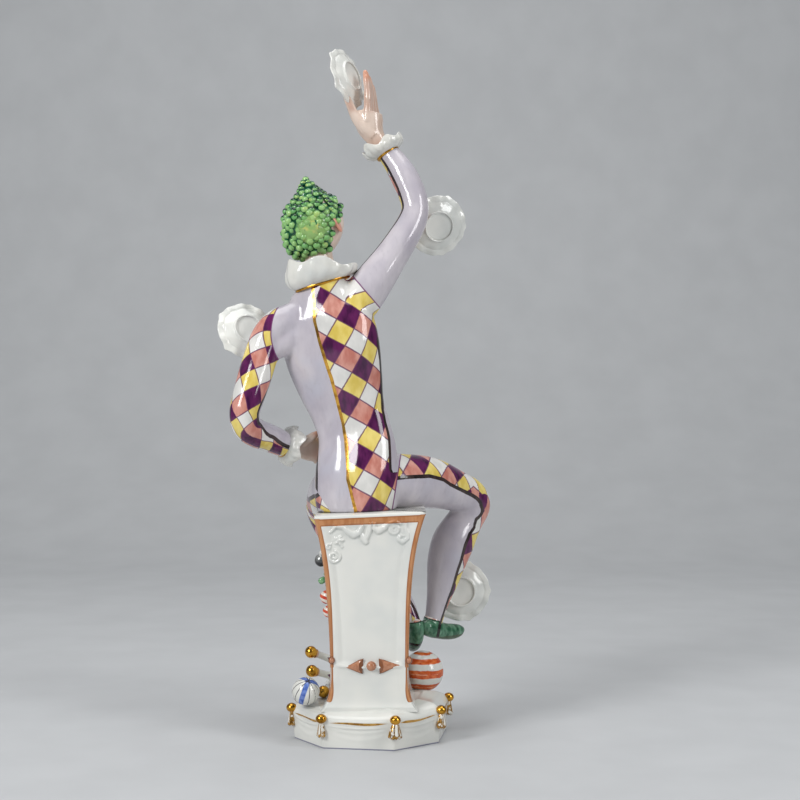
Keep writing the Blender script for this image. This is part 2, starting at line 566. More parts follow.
def rounded(profile, steps=5):
    """The same profile with its corners eased by a smooth curve through its points."""
    p = np.asarray(profile, float)
    ends = np.vstack([2 * p[0] - p[1], p, 2 * p[-1] - p[-2]])
    out = []
    for i in range(len(p) - 1):
        a, b, c, d = ends[i:i + 4]
        for f in np.arange(steps) / steps:
            out.append(0.5 * (2 * b + (c - a) * f + (2 * a - 5 * b + 4 * c - d) * f ** 2 + (3 * b - a - 3 * c + d) * f ** 3))
    return np.array(out + [p[-1]])


def make_clubs():
    enamel = Enamel("club_glaze")
    along, side, _ = enamel.parts(enamel.marks("club"))
    knob = enamel.edge(along, 4.6, 4.1)
    collar = enamel.edge(enamel.sum("ABSOLUTE", enamel.sum("SUBTRACT", along, 5.0)), 1.1, 0.7)
    colour = enamel.lay(WHITE, fired(210, 210, 206), enamel.edge(enamel.cloud(12), 0.4, 0.7))
    lozenge = enamel.sum("ADD", enamel.sum("ABSOLUTE", enamel.sum("SUBTRACT", along, 16.0)),
                         enamel.sum("MULTIPLY", side, 4.0))
    purple = enamel.brushed(fired(118, 62, 110), fired(76, 30, 78), 3, (1, 1, 1))
    colour = enamel.lay(colour, purple, enamel.edge(lozenge, 3.4, 3.1))
    colour = enamel.lay(colour, fired(196, 120, 80), enamel.sum("MULTIPLY", collar, 0.6))
    gold = enamel.lay(GOLD, DEEP_GOLD, enamel.edge(enamel.cloud(4, 3.0), 0.45, 0.75))
    glaze = enamel.finish(enamel.lay(colour, gold, knob), 0.1, knob)
    for number, (knob_at, tip) in enumerate(CLUBS):
        axis = np.subtract(tip, knob_at)
        length = float(np.linalg.norm(axis))
        arc = [(3.95 * math.sin(a), -3.95 * math.cos(a)) for a in np.linspace(0.02, 2.35, 16)]
        shaft = rounded([(2.8, 2.9), (3.0, 4.0), (2.3, 5.4), (2.4, length * 0.4), (4.2, length * 0.75), (4.1, length * 0.92), (2.6, length * 0.99),
                         (0.1, length)], 6)
        profile = np.vstack([arc, shaft])
        points, turn = thrown(profile, knob_at, axis)
        club = cast_piece(f"club_{number + 1}", points, rings_to_faces(len(profile), 48), glaze)
        mark(club, "club", np.repeat(profile[:, 1], 48) + 1.0, np.abs(np.sin(1.5 * turn)))


make_striped_ball()
make_blue_ball()
make_clubs()

# Fruit string: a string of small fruit hangs down the front corner of the pedestal on its left: a dark
# silvered ball under a white cap, a green leaf, and two pears striped red and white in a spiral.
STRING_Y = 11.5


def make_fruit_string():
    ball = Enamel("silvered_ball")
    shade = ball.edge(ball.parts(ball.marks("height"))[0], -0.5, 0.75)
    dark = ball.lay(fired(58, 58, 60), fired(188, 190, 188), ball.sum("MULTIPLY", shade, ball.edge(ball.cloud(5, 3.0), 0.3, 0.62)))
    points, unit = blob((-33.0, STRING_Y, 112.2), (4.4, 4.4, 4.4), 48, 32)
    fruit = cast_piece("dark_fruit", points, rings_to_faces(32, 48), ball.finish(dark, 0.16, 0.55))
    mark(fruit, "height", unit[:, 2])
    points, _ = blob((-31.8, STRING_Y, 117.2), (2.5, 2.5, 2.2), 36, 20)
    cast_piece("fruit_cap", points, rings_to_faces(20, 36), white_ware("fruit_cap_glaze"))
    pear = Enamel("spiral_striped_glaze")
    twist = pear.parts(pear.marks("twist"))[0]
    red = pear.brushed(fired(222, 96, 62), fired(188, 52, 26), 2.5, (1, 1, 1))
    colour = pear.lay(fired(232, 224, 214), red, pear.edge(twist, -0.2, 0.25))
    striped = pear.finish(colour, 0.1)
    for number, (x, z, size) in enumerate([(-29.6, 88.6, 4.4), (-28.2, 79.0, 3.9)]):
        points, unit = blob((x, STRING_Y, z), (size, size, size * 1.2), 48, 40,
                            lambda u: 1 - 0.28 * smooth(u[:, 2], 0.0, 1.0))
        turn = np.arctan2(unit[:, 1], unit[:, 0])
        piece = cast_piece(f"pear_{number + 1}", points, rings_to_faces(40, 48), striped)
        mark(piece, "twist", np.sin(turn * 2 + unit[:, 2] * 7.5))
    leaf = Enamel("leaf_green")
    green = leaf.finish(leaf.brushed(fired(132, 176, 126), fired(64, 122, 84), 3, (1, 1, 1)), 0.12)
    for number, (x, z, reach, turn) in enumerate([(-32.4, 98.8, 4.6, 215), (-29.0, 103.0, 4.0, 150), (-28.0, 95.5, 3.6, 320)]):
        points, unit = blob((0, 0, 0), (reach, 1.3, 2.2), 32, 20, lambda u: 1 - 0.45 * np.abs(u[:, 0]) ** 2)
        angle = math.radians(turn)
        x_new = points[:, 0] * math.cos(angle) - points[:, 2] * math.sin(angle)
        z_new = points[:, 0] * math.sin(angle) + points[:, 2] * math.cos(angle)
        y_new = points[:, 1] + 0.05 * points[:, 0] ** 2
        leaf_points = np.stack([x + x_new, STRING_Y + y_new, z + z_new], 1)
        cast_piece(f"fruit_leaf_{number + 1}", leaf_points, rings_to_faces(20, 32), green)
    points, _ = thrown(rounded([(0.1, 0), (1.7, 3), (1.5, 20), (1.6, 42), (0.1, 46)], 8), (-26.6, STRING_Y - 1.5, 74), (-0.02, 0.02, 1), 24)
    cast_piece("fruit_stem", points, rings_to_faces(33, 24), green)


make_fruit_string()

# Costume and body: the figure in its tight suit, cast in several moulds and luted together before
# firing. One half of the suit is plain lilac and the other is painted with lozenges in purple, salmon,
# yellow and white; they change sides at the gilt line down the spine and at the black seams.
TORSO = [
    # x, y, z, half width, half depth of each section from the seat to the collar
    (-9, -1, 146, 26.4, 19), (-9.5, -1, 158, 28.2, 20.5), (-9.2, -1, 172, 27.6, 20), (-9.2, 0, 186, 26.2, 17.5),
    (-11.4, 1, 199, 24.6, 15.2), (-15.1, 1, 211, 25, 15), (-19.4, 0, 226, 28.4, 16.6), (-23.8, -2, 243, 31.6, 18.4),
    (-27, -3, 258, 32.5, 18), (-29.5, -4, 271, 31, 16.5), (-30.5, -4, 281, 24, 14), (-30, -4, 289, 17.4, 13),
    (-31.5, -3, 297, 12.5, 11), (-32.5, -2.5, 303, 10, 9.5),
]
# Clay worked in between the neck and the left shoulder, and under the left arm
LEFT_SHOULDER = [(-36, -4, 278, 8.5), (-46, -4.5, 274, 9.3), (-55, -5.5, 270, 9.6), (-62, -6.5, 265.5, 10)]
LEFT_ARMPIT = [(-46, -5, 264, 9), (-53, -7, 257.5, 9), (-60, -9.5, 252.5, 8), (-66, -12, 250, 7)]
RIGHT_ARM = [
    (-18, -4, 268, 12), (-7, -4, 283, 13.8), (3.3, -2, 297.4, 12.7), (12.4, 1, 310.7, 11.1), (20.9, 4, 324, 10.2),
    (26.8, 7, 334.8, 9.6), (28.9, 9, 343.5, 9), (27.1, 11, 353, 9.2), (21.5, 14, 365.9, 9.2), (15.6, 17, 375.6, 8.2),
    (10.3, 19, 382.5, 7.1), (7, 19.6, 387, 6.2),
]
LEFT_ARM = [
    (-48, -5, 270, 10), (-58, -6, 267, 11.5), (-66, -8, 259, 11.2), (-70.3, -11, 248, 11), (-74, -15, 235, 11),
    (-78.1, -20, 220.1, 10.4), (-80.4, -22, 209.9, 9.8), (-79, -20, 201.6, 9.6), (-73.8, -14, 196.9, 9.4),
    (-66.8, -5, 193.7, 9.2), (-57.5, 5, 189, 8.4), (-52, 9, 187, 6.8),
]
RIGHT_LEG = [
    (-6, -6, 164, 15), (8, 4, 165, 17.5), (22.2, 14, 164.2, 18), (39, 28, 162, 17.2), (54.1, 40, 156.8, 14.4),
    (65.5, 48, 151.5, 12.4), (69, 50.5, 144.5, 11.3), (62.5, 49.5, 134, 12.4), (55.2, 46, 121.3, 14.3),
    (50.8, 43, 108.7, 13.4), (47.8, 40, 95.5, 11), (44.6, 38, 82.2, 8), (42.3, 37, 72, 6.6), (40.5, 36, 64, 6.2),
]
LEFT_LEG = [
    (-14, -4, 163, 15), (-19.5, 14, 162, 16.5), (-26.5, 34, 156, 16), (-31.5, 54, 148, 13.6), (-33, 66, 139, 12),
    (-27, 66.5, 128, 12.2), (-15, 60, 117, 13), (-1, 52, 105.5, 12), (11.6, 43, 92.6, 9.4), (21.8, 35.8, 80.4, 6.6),
    (26.4, 32.8, 72, 5.4), (28.4, 31, 64, 5.4),
]
LEANING = {"torso": (0.28, 1, 0), "right_arm": (0, 1, 0), "left_arm": (0, 1, 0), "right_leg": (-0.3, 1, 0.6),
           "left_leg": (0.2, 1, 0.8)}
# The gilt line down the spine, as height and distance across
SPINE = [(140, -8.5), (149, -9.9), (160.6, -12.8), (167, -14.4), (180, -14.9), (192.6, -16), (205.4, -18.5), (218.2, -21.7),
         (231, -24.9), (243.8, -29.1), (256.6, -32.9), (263, -34.5), (269.4, -36.0), (282.2, -36.8), (300, -37.6)]
# Where the black seam runs on each limb: distance along it, and degrees round it from the back
SEAMS = {
    "right_arm": [(0, -104), (60, -106), (84, -112), (94, -118), (108, -124), (124, -126), (160, -122)],
    "left_arm": [(0, 95), (34, 95), (56, 88), (68, 68), (80, 65), (86, 56), (92, 30), (97, 14), (112, 3), (130, 0)],
    "right_leg": [(0, 36), (18, 40), (41, 47), (53, 43), (60, 36), (68, 34), (89, 28), (95, 25), (99, 14), (103, 2),
                  (107, -7), (114, 3), (121, -4), (129, 1), (139, 11), (150, 17), (163, 24), (177, 30), (192, 24)],
    "left_leg": [(0, 60), (30, 60), (80, 20), (120, 0), (146, 20), (162, 80), (180, 90)],
}
# On the arms and the right leg the lozenges lie beyond or before the seam
LOZENGE_SIDE = {"right_arm": -1, "left_arm": -1, "right_leg": 1, "left_leg": -1}
# The lozenges of each part: where one corner lies, and the two sides of one lozenge, in millimetres
# along the part and in radians round it
LOZENGES = {
    "right_arm": ((0.0, 0.0), (10.4, 0.62), (-6.6, 0.62)),
    "left_arm": ((46.0, -1.389), (-6.91, 0.787), (9.32, 0.565)),
    "right_leg": ((30.2, 1.526), (8.58, 0.606), (6.29, -0.641)),
    "left_leg": ((20.0, -1.5), (9.0, 0.56), (-6.0, 0.56)),
}


def flowing(stations, count):
    """A smooth run of in-between stations."""
    p = np.asarray(stations, float)
    ends = np.vstack([2 * p[0] - p[1], p, 2 * p[-1] - p[-2]])
    t = np.linspace(0, len(p) - 1, count)
    i = np.minimum(t.astype(int), len(p) - 2)
    f = (t - i)[:, None]
    a, b, c, d = ends[i], ends[i + 1], ends[i + 2], ends[i + 3]
    return 0.5 * (2 * b + (c - a) * f + (2 * a - 5 * b + 4 * c - d) * f ** 2 + (3 * b - a - 3 * c + d) * f ** 3)


def run_of(stations, lean, count):
    """The middle line of a limb with its size, its length so far, and which way its side and depth face."""
    run = flowing(stations, count)
    middle = run[:, :3]
    along = np.gradient(middle, axis=0)
    along /= np.linalg.norm(along, axis=1)[:, None]
    lean = np.asarray(lean, float)
    depth = lean - (along @ lean)[:, None] * along
    depth /= np.linalg.norm(depth, axis=1)[:, None]
    side = np.cross(along, depth)
    length = np.concatenate([[0], np.cumsum(np.linalg.norm(np.diff(middle, axis=0), axis=1))])
    return middle, run[:, 3], run[:, -1], length, side, depth


def modelled_limb(stations, lean, around=56, count=110, swell=None):
    """A limb as rings of clay round its middle line; swell adds muscle as a share of the radius."""
    middle, half_side, half_depth, length, side, depth = run_of(stations, lean, count)
    turn = np.linspace(-math.pi, math.pi, around, endpoint=False)
    fuller = np.ones((count, around)) if swell is None else 1 + swell(length[:, None], turn[None, :])
    out = side[:, None] * (np.sin(turn)[None, :, None] * half_side[:, None, None])
    out = out - depth[:, None] * (np.cos(turn)[None, :, None] * half_depth[:, None, None])
    return (middle[:, None] + out * fuller[..., None]).reshape(-1, 3)


def hump(x, at, width):
    return np.exp(-((x - at) / width) ** 2)


def torso_swell(along, turn):
    """The hollow of the spine, the shoulder blades, the small of the back and the seat."""
    z = 146 + along
    hollow = -0.075 * hump(turn, 0.0, 0.2) * smooth(z, 160, 190) * smooth(z, 292, 262)
    blades = 0.06 * (hump(turn, -0.62, 0.34) + hump(turn, 0.66, 0.34)) * hump(z, 254, 15)
    seat = 0.05 * (hump(turn, -0.5, 0.36) + hump(turn, 0.5, 0.36)) * hump(z, 160, 15) - 0.06 * hump(turn, 0, 0.16) * hump(z, 150, 18)
    loin = 0.035 * (hump(turn, -0.3, 0.2) + hump(turn, 0.3, 0.2)) * hump(z, 208, 18)
    chest = 0.05 * (hump(np.abs(turn), 2.55, 0.35)) * hump(z, 256, 13) - 0.03 * hump(np.abs(turn), math.pi, 0.2) * hump(z, 256, 18)
    return hollow + blades + seat + loin + chest


def leg_swell(knee, calf):
    """The kneecap and the two bellies of the calf."""
    def swell(along, turn):
        cap = 0.07 * hump(along, knee, 9) * hump(np.abs(turn), 2.0, 0.9)
        belly = 0.045 * hump(along, calf, 16) * (hump(turn, -0.5, 0.5) + hump(turn, 0.6, 0.45))
        return cap + belly
    return swell


def round_the_limb(points, name, stations):
    """For each point: how far along a limb it lies, its turn round it, the limb's radius and its own distance out."""
    middle, radius, _, length, side, depth = run_of(stations, LEANING[name], 240)
    along, turn, size, out = np.zeros((4, len(points)))
    for start in range(0, len(points), 8000):
        part = points[start:start + 8000]
        near = np.linalg.norm(part[:, None] - middle[None], axis=2) - 0.5 * radius[None]
        k = near.argmin(1)
        off = part - middle[k]
        step = np.gradient(middle, axis=0)[k]
        past = np.einsum("ij,ij->i", off, step) / np.einsum("ij,ij->i", step, step)
        along[start:start + 8000] = length[k] + np.clip(past, -0.6, 0.6) * np.linalg.norm(step, axis=1)
        turn[start:start + 8000] = np.arctan2(np.einsum("ij,ij->i", off, side[k]), -np.einsum("ij,ij->i", off, depth[k]))
        size[start:start + 8000] = radius[k]
        out[start:start + 8000] = np.linalg.norm(off, axis=1)
    return along, turn, size, out


def lozenge_lines(points, name, stations):
    """Guide lines for one sleeve or leg: the two lozenge counts, how far inside the seams, how far off the limb."""
    along, turn, size, out = round_the_limb(points, name, stations)
    seam = np.array(SEAMS[name], float)
    middle = np.radians(np.interp(along, seam[:, 0], seam[:, 1])) + LOZENGE_SIDE[name] * math.pi / 2
    off = (turn - middle + math.pi) % (2 * math.pi) - math.pi
    inside = size * (math.pi / 2 - np.abs(off))
    (s0, t0), (sa, ta), (sb, tb) = LOZENGES[name]
    ds, dt = along - s0, off + middle - t0
    span = sa * tb - ta * sb
    first, second = (ds * tb - dt * sb) / span, (dt * sa - ds * ta) / span
    if name == "right_leg":
        # below the knee the rows are drawn closer together
        first = first + np.interp(along, [84, 92, 100, 120, 140, 170], [0, 0.5, 1.0, 0.8, 0.6, 0.3])
        second = second - np.interp(along, [84, 92, 96, 101, 125, 145, 170], [0, 0.65, 0.6, 1.0, 1.25, 1.2, 1.0])
    if name == "left_arm":
        # past the elbow the lozenges follow the forearm in two plain rows
        past = smooth(along, 73, 83)
        row = -1 + (off + middle + 0.15) / 0.8
        first, second = first * (1 - past) + past * row, second * (1 - past) + past * (4 + (along - 84 + 4 * (row + 1.5)) / 10.3)
    if name == "left_leg":
        x, y, z = points.T
        hip = smooth(along, 78, 62)
        across = x - 0.25 * np.maximum(y - 10, 0)
        first = first * (1 - hip) + hip * (152.7 - z - 0.5 * (x + 37)) / 7.3
        second = second * (1 - hip) + hip * (across + 39.8 + 0.22 * (152.7 - z)) / 7.8
        inside = np.minimum(inside, np.where((y < 40) & (x < -20), 0.8 * (154.5 + 0.74 * (x + 37) - z), 50))
    return first, second, inside, out - size


# The right side seam of the trunk as seen on the back, as height and distance across
SIDE_SEAM = [(140, 16), (168, 15.4), (173.6, 12.8), (185.3, 12.4), (193.2, 11.9), (198.4, 10.7), (204.9, 8.9), (211.4, 7.7), (224.5, 7.0),
             (234, 7.0), (244, 6.2), (252, 5.2), (257, 4.6), (262, 8), (270, 20)]


def torso_lines(points):
    """Guide lines for the trunk: the two lozenge counts, then how far from the spine and the side seams."""
    middle, half, deep, _, side, depth = run_of(TORSO, LEANING["torso"], 200)
    level = np.abs(points[:, 2:3] - middle[None, :, 2]).argmin(1)
    middle, half, deep, side, depth = middle[level], half[level], deep[level], side[level], depth[level]
    x, y, z = points.T
    right = -np.einsum("ij,ij->i", points - middle, side)
    back = -np.einsum("ij,ij->i", points - middle, depth)
    spine = np.array(SPINE)
    spine_x = np.interp(z, spine[:, 0], spine[:, 1]) - middle[:, 0]
    behind = smooth(back / deep, -0.2, 0.5)
    from_spine = x - middle[:, 0] - spine_x * (2 * behind - 1)
    seam = np.array(SIDE_SEAM)
    right_side = np.minimum(np.interp(z, seam[:, 0], seam[:, 1]) - x, back + 2 - 8 * smooth(z, 176, 168) + 12 * smooth(z, 250, 266))
    left_side = np.minimum(back - 0.05 * deep, x + 35.2 + 60 * smooth(z, 188, 204))
    from_side = np.where(right > 0, right_side, left_side)
    from_side = np.where((right > 0) & (z < 171) & (z > 140) & (back > 0), 6.0, from_side)
    turn = np.arctan2(right / half, back / deep)
    round_it = half * np.sign(turn) * (np.minimum(np.abs(turn), 1.1) + 0.8 * np.maximum(np.abs(turn) - 1.1, 0))
    across = middle[:, 0] - 0.27 * deep + 0.985 * round_it + 15.0
    up = (z - 280.9) * 1.014
    return 0.0681 * across - 0.0393 * up, -0.0381 * across - 0.0681 * up, from_spine, from_side


def joined_clay(name, limbs, voxel, relax):
    """Lutes several lumps of clay into one skin and sponges the joins smooth. Returns points and faces."""
    points, faces = [], []
    for rings, around, limb in limbs:
        faces += rings_to_faces(rings, around, len(points))
        points += limb.tolist()
    mesh = bpy.data.meshes.new(name)
    mesh.from_pydata(points, [], faces)
    lump = bpy.data.objects.new(name, mesh)
    bpy.context.collection.objects.link(lump)
    lute = lump.modifiers.new("lute", "REMESH")
    lute.mode, lute.voxel_size, lute.adaptivity = "VOXEL", voxel, 0
    sponge = lump.modifiers.new("sponge", "SMOOTH")
    sponge.factor, sponge.iterations = 0.5, relax
    done = lump.evaluated_get(bpy.context.evaluated_depsgraph_get()).to_mesh()
    flat = np.zeros(len(done.vertices) * 3)
    done.vertices.foreach_get("co", flat)
    faces = [tuple(p.vertices) for p in done.polygons]
    lump.to_mesh_clear()
    bpy.data.objects.remove(lump)
    return flat.reshape(-1, 3), faces


def suit_paint():
    """Lilac and lozenges, black seams, thin purple outlines and the gilt line down the spine."""
    suit = Enamel("suit_enamel")
    in_right_sleeve, in_left_sleeve, _ = suit.parts(suit.marks("sleeves"))
    in_right_leg, in_left_leg, _ = suit.parts(suit.marks("breeches"))
    from_spine, from_side, _ = suit.parts(suit.marks("trunk_lines"))
    wander = suit.sum("MULTIPLY_ADD", suit.cloud(9, 2.0), 0.5, -0.25)
    cloth = suit.marks("trunk_cloth")
    on_limb = None
    for guide, inside in (("right_sleeve", in_right_sleeve), ("left_sleeve", in_left_sleeve), ("right_leg", in_right_leg),
                          ("left_leg", in_left_leg)):
        here = suit.sum("GREATER_THAN", inside, 0.0)
        cloth = suit.choose(cloth, suit.marks(guide), here)
        on_limb = here if on_limb is None else suit.sum("MAXIMUM", on_limb, here)
    first, second, within = suit.parts(cloth)
    on_trunk = suit.sum("SUBTRACT", 1.0, on_limb)
    trunk_side = suit.sum("MULTIPLY", from_spine, from_side)
    patterned = suit.sum("GREATER_THAN", suit.sum("ADD", suit.sum("MULTIPLY", trunk_side, on_trunk), suit.sum("MULTIPLY", within, on_limb)), 0.0)
    first_odd = suit.sum("GREATER_THAN", suit.sum("FLOORED_MODULO", first, 2.0), 1.0)
    second_odd = suit.sum("GREATER_THAN", suit.sum("FLOORED_MODULO", second, 2.0), 1.0)
    slant = (12, -25, 20)
    purple = suit.brushed(fired(98, 32, 86), fired(60, 14, 58), 4.5, (1, 1, 0.35), slant)
    salmon = suit.brushed(fired(218, 160, 146), fired(190, 116, 102), 5.5, (1, 1, 0.4), slant, 0.3, 0.7)
    yellow = suit.brushed(fired(236, 216, 128), fired(216, 190, 88), 5.5, (1, 1, 0.4), slant, 0.3, 0.7)
    white = suit.brushed(fired(232, 230, 226), fired(214, 213, 209), 9, (1, 1, 0.6))
    lozenges = suit.lay(suit.lay(purple, salmon, first_odd), suit.lay(yellow, white, first_odd), second_odd)
    edge_of = suit.sum("MINIMUM", suit.sum("PINGPONG", first, 0.5), suit.sum("PINGPONG", second, 0.5))
    fine = suit.sum("MULTIPLY_ADD", suit.cloud(5, 2.0), 0.028, 0.012)
    outline = suit.edge(suit.sum("SUBTRACT", edge_of, fine), 0.018, 0.0)
    lozenges = suit.lay(lozenges, fired(92, 34, 84), suit.sum("MULTIPLY", outline, 0.85))
    lilac = suit.brushed(fired(206, 200, 206), fired(184, 178, 188), 16, (1, 1, 0.5), low=0.3, high=0.7)
    lilac = suit.lay(lilac, fired(190, 190, 202), suit.sum("MULTIPLY", suit.edge(suit.cloud(30, 2.0), 0.5, 0.75), 0.7))
    lilac = suit.lay(lilac, fired(166, 160, 168), suit.sum("MULTIPLY", suit.edge(suit.cloud(2.2, 3.0, (1, 1, 0.3)), 0.5, 0.85), 0.35))
    colour = suit.lay(lilac, lozenges, patterned)
    seam_wander = suit.sum("MULTIPLY_ADD", suit.cloud(12, 2.0), 0.7, -0.35)
    limb_seam = suit.edge(suit.sum("ABSOLUTE", suit.sum("ADD", within, seam_wander)), 1.4, 1.15)
    side_seam = suit.edge(suit.sum("ABSOLUTE", suit.sum("ADD", from_side, seam_wander)), 0.95, 0.7)
    seam = suit.sum("ADD", suit.sum("MULTIPLY", limb_seam, on_limb), suit.sum("MULTIPLY", side_seam, on_trunk))
    colour = suit.lay(colour, suit.brushed(fired(62, 48, 46), fired(34, 26, 28), 5), seam)
    for inside in (in_right_sleeve, in_left_sleeve, in_right_leg):
        line = suit.edge(suit.sum("ABSOLUTE", suit.sum("ADD", inside, wander)), 0.5, 0.28)
        colour = suit.lay(colour, fired(112, 48, 104), suit.sum("MULTIPLY", line, 0.9))
    gilt_width = suit.sum("MULTIPLY_ADD", suit.cloud(14, 1.0), 0.6, 0.75)
    spine = suit.edge(suit.sum("SUBTRACT", suit.sum("ABSOLUTE", suit.sum("ADD", from_spine, wander)), gilt_width), 0.12, -0.12)
    gilt = suit.sum("MULTIPLY", spine, on_trunk)
    gold = suit.lay(fired(222, 172, 76), fired(168, 118, 40), suit.edge(suit.cloud(4, 3.0), 0.4, 0.7))
    colour = suit.lay(colour, gold, gilt)
    return suit.finish(colour, 0.085, suit.sum("MULTIPLY", gilt, 0.85), ripple=0.3, ripple_size=16)


def make_costume():
    limbs = []
    for name, stations, swell in (("torso", TORSO, torso_swell), ("right_arm", RIGHT_ARM, None), ("left_arm", LEFT_ARM, None),
                                  ("right_leg", RIGHT_LEG, leg_swell(98, 128)), ("left_leg", LEFT_LEG, leg_swell(74, 104))):
        around = 96 if name == "torso" else 56
        limbs.append((110, around, modelled_limb(stations, LEANING[name], around, 110, swell)))
    for stations in (LEFT_SHOULDER, LEFT_ARMPIT):
        limbs.append((40, 40, modelled_limb(stations, (0, 1, 0), 40, 40)))
    points, faces = joined_clay("suit_clay", limbs, 1.05, 16)
    suit = cast_piece("costume", points, faces, suit_paint())
    first, second, from_spine, from_side = torso_lines(points)
    mark(suit, "trunk_cloth", first, second)
    mark(suit, "trunk_lines", from_spine, from_side)
    off_limb = {}
    for guide, name, stations in (("right_sleeve", "right_arm", RIGHT_ARM), ("left_sleeve", "left_arm", LEFT_ARM),
                                  ("right_leg", "right_leg", RIGHT_LEG), ("left_leg", "left_leg", LEFT_LEG)):
        first, second, inside, off_limb[name] = lozenge_lines(points, name, stations)
        mark(suit, guide, first, second, inside)
    x, y, z = points.T
    right_sleeve = 28.0 - np.linalg.norm(points - (15.6, -4, 304), axis=1)
    right_sleeve = np.maximum(right_sleeve, np.where((x > -9) & (z > 305), z - 306, -50))
    left_sleeve = np.minimum(np.hypot(x + 26.8, z - 261.7) - 37.0, 4.0 - off_limb["left_arm"])
    left_sleeve = np.where(x < -45, left_sleeve, -20)
    right_leg = np.where(z < 190, x - 13.8 - 0.16 * np.maximum(z - 147, 0), -20)
    hip = -0.82 * (x + 33.7) - 0.58 * (z - 157.3)
    lap = y - 15 - 0.5 * np.maximum(z - 150, 0)
    hip = np.maximum(hip, np.where(z < 182, -36.1 - x, -20))
    left_leg = np.where(z < 190, np.where(x < 8, np.maximum(hip, lap), lap), -20)
    left_leg = np.where((z < 140) & (x < 37) & (z > 55), 10.0, left_leg)
    leftward = np.minimum(off_limb["right_leg"] - off_limb["left_leg"], 9 - off_limb["left_leg"])
    left_leg, right_leg = np.minimum(left_leg, leftward), np.minimum(right_leg, off_limb["left_leg"] - off_limb["right_leg"])
    mark(suit, "sleeves", right_sleeve, left_sleeve)
    mark(suit, "breeches", right_leg, left_leg)


make_costume()

# Shoes: soft green slippers, modelled on the feet, with the black seam of the leg carried down over
# the side to the sole. Above the left one shows a pale sock with a salmon band.
RIGHT_SHOE = [(33.3, 28, 66.4, 2.6), (35.6, 30, 65.4, 5.3), (40, 34, 63.6, 6.1), (45, 38.5, 61.8, 5.9), (50, 43, 60.2, 5.6), (55, 47.5, 59.6, 5.3),
              (59, 51.5, 59.6, 4.3), (62, 54, 60.2, 2.2)]
LEFT_SHOE = [(30.8, 25.5, 70.4, 2.6), (30.2, 27, 66, 5.2), (29.6, 29.5, 61.6, 5.7), (29.0, 33, 57, 5.6), (28.2, 38, 52.5, 4.8), (27.2, 42, 50, 3.6),
             (26.5, 44, 49.5, 2.2)]


def make_shoes():
    for name, stations, lean, ankle in (("right_shoe", RIGHT_SHOE, (0, 0, 1), [(41.6, 36.6, 70.6, 6.4), (40.4, 36, 66, 6.6), (40, 35, 61, 5.6)]),
                                        ("left_shoe", LEFT_SHOE, (0, 0.6, 1), [(29.2, 31.6, 69, 6.3), (29.4, 31, 64, 6.2), (29.6, 30, 60, 5.6)])):
        limbs = [(60, 48, modelled_limb(stations, lean, 48, 60)), (24, 40, modelled_limb(ankle, (0.2, 1, 0), 40, 24))]
        points, faces = joined_clay(name + "_clay", limbs, 0.7, 8)
        along, _, _ = shoe_run(points, stations, lean)
        enamel = Enamel(name + "_enamel")
        seam, rim, under = enamel.parts(enamel.marks("seams"))
        green = enamel.brushed(fired(104, 150, 122), fired(42, 92, 66), 4, (1, 1, 0.6), (20, 10, 0), 0.3, 0.7)
        green = enamel.lay(green, fired(28, 62, 46), enamel.sum("MULTIPLY", enamel.edge(enamel.cloud(3, 3.0, (1, 1, 0.4)), 0.5, 0.8), 0.6))
        colour = enamel.lay(green, fired(30, 30, 26), enamel.edge(enamel.sum("ABSOLUTE", seam), 1.15, 0.9))
        sock = enamel.lay(fired(226, 222, 214), fired(214, 150, 132), enamel.edge(enamel.cloud(3.5, 1.0), 0.45, 0.55))
        colour = enamel.lay(colour, sock, enamel.edge(rim, 0.0, 0.25))
        colour = enamel.lay(colour, fired(26, 40, 32), enamel.edge(enamel.sum("ABSOLUTE", rim), 0.45, 0.25))
        colour = enamel.lay(colour, fired(70, 74, 52), enamel.sum("MULTIPLY", enamel.edge(under, 0.6, 0.9), 0.7))
        shoe = cast_piece(name, points, faces, enamel.finish(colour, 0.1, ripple=0.35, ripple_size=8))
        if name == "right_shoe":
            seam_line = points[:, 0] - 44.9 - 0.18 * (points[:, 2] - 62) - 20 * (points[:, 1] > 44)
            rim_line = points[:, 2] - 69.2 + 0.25 * (points[:, 0] - 44)
        else:
            seam_line = np.where(np.abs(points[:, 2] - 53.6) < 2.5, points[:, 2] - 53.6 + 0.2 * (points[:, 0] - 28), 5.0)
            rim_line = points[:, 2] - 69.0 - 0.2 * (points[:, 0] - 29)
        mark(shoe, "seams", seam_line, rim_line, smooth(along * 0 + (63.5 if name == "right_shoe" else 55) - points[:, 2], 3.6, 6.5))


def shoe_run(points, stations, lean):
    middle, radius, _, length, side, depth = run_of(stations, lean, 80)
    k = np.array([np.linalg.norm(middle - p, axis=1).argmin() for p in points])
    return length[k], None, radius[k]


make_shoes()

# Hands: modelled with separate fingers, in bare pinkish flesh tones, warmer at the finger tips. The
# right hand grips the rim of a plate above the head; the left one rests on the hip.
RIGHT_PALM = [(8.6, 19.6, 384.5, 5.6, 5.0), (4.5, 20, 389.5, 6.0, 5.5), (1.2, 20.5, 394.5, 7.4, 6.9), (-1.0, 20.5, 399.5, 9.0, 7.8),
              (-1.8, 20.5, 404, 9.6, 8.2), (-1.0, 20.5, 409, 8.4, 8.0)]
RIGHT_THUMB = [(1.5, 17.5, 393, 4.4), (-4.5, 16.8, 398.6, 4.6), (-8.8, 16.2, 403, 3.9), (-11.6, 15.9, 407.4, 3.2), (-13.6, 15.6, 411.8, 2.8),
               (-15.6, 15.6, 416.4, 2.5), (-17.2, 15.8, 420.6, 2.0), (-18.2, 15.9, 423.2, 1.1)]
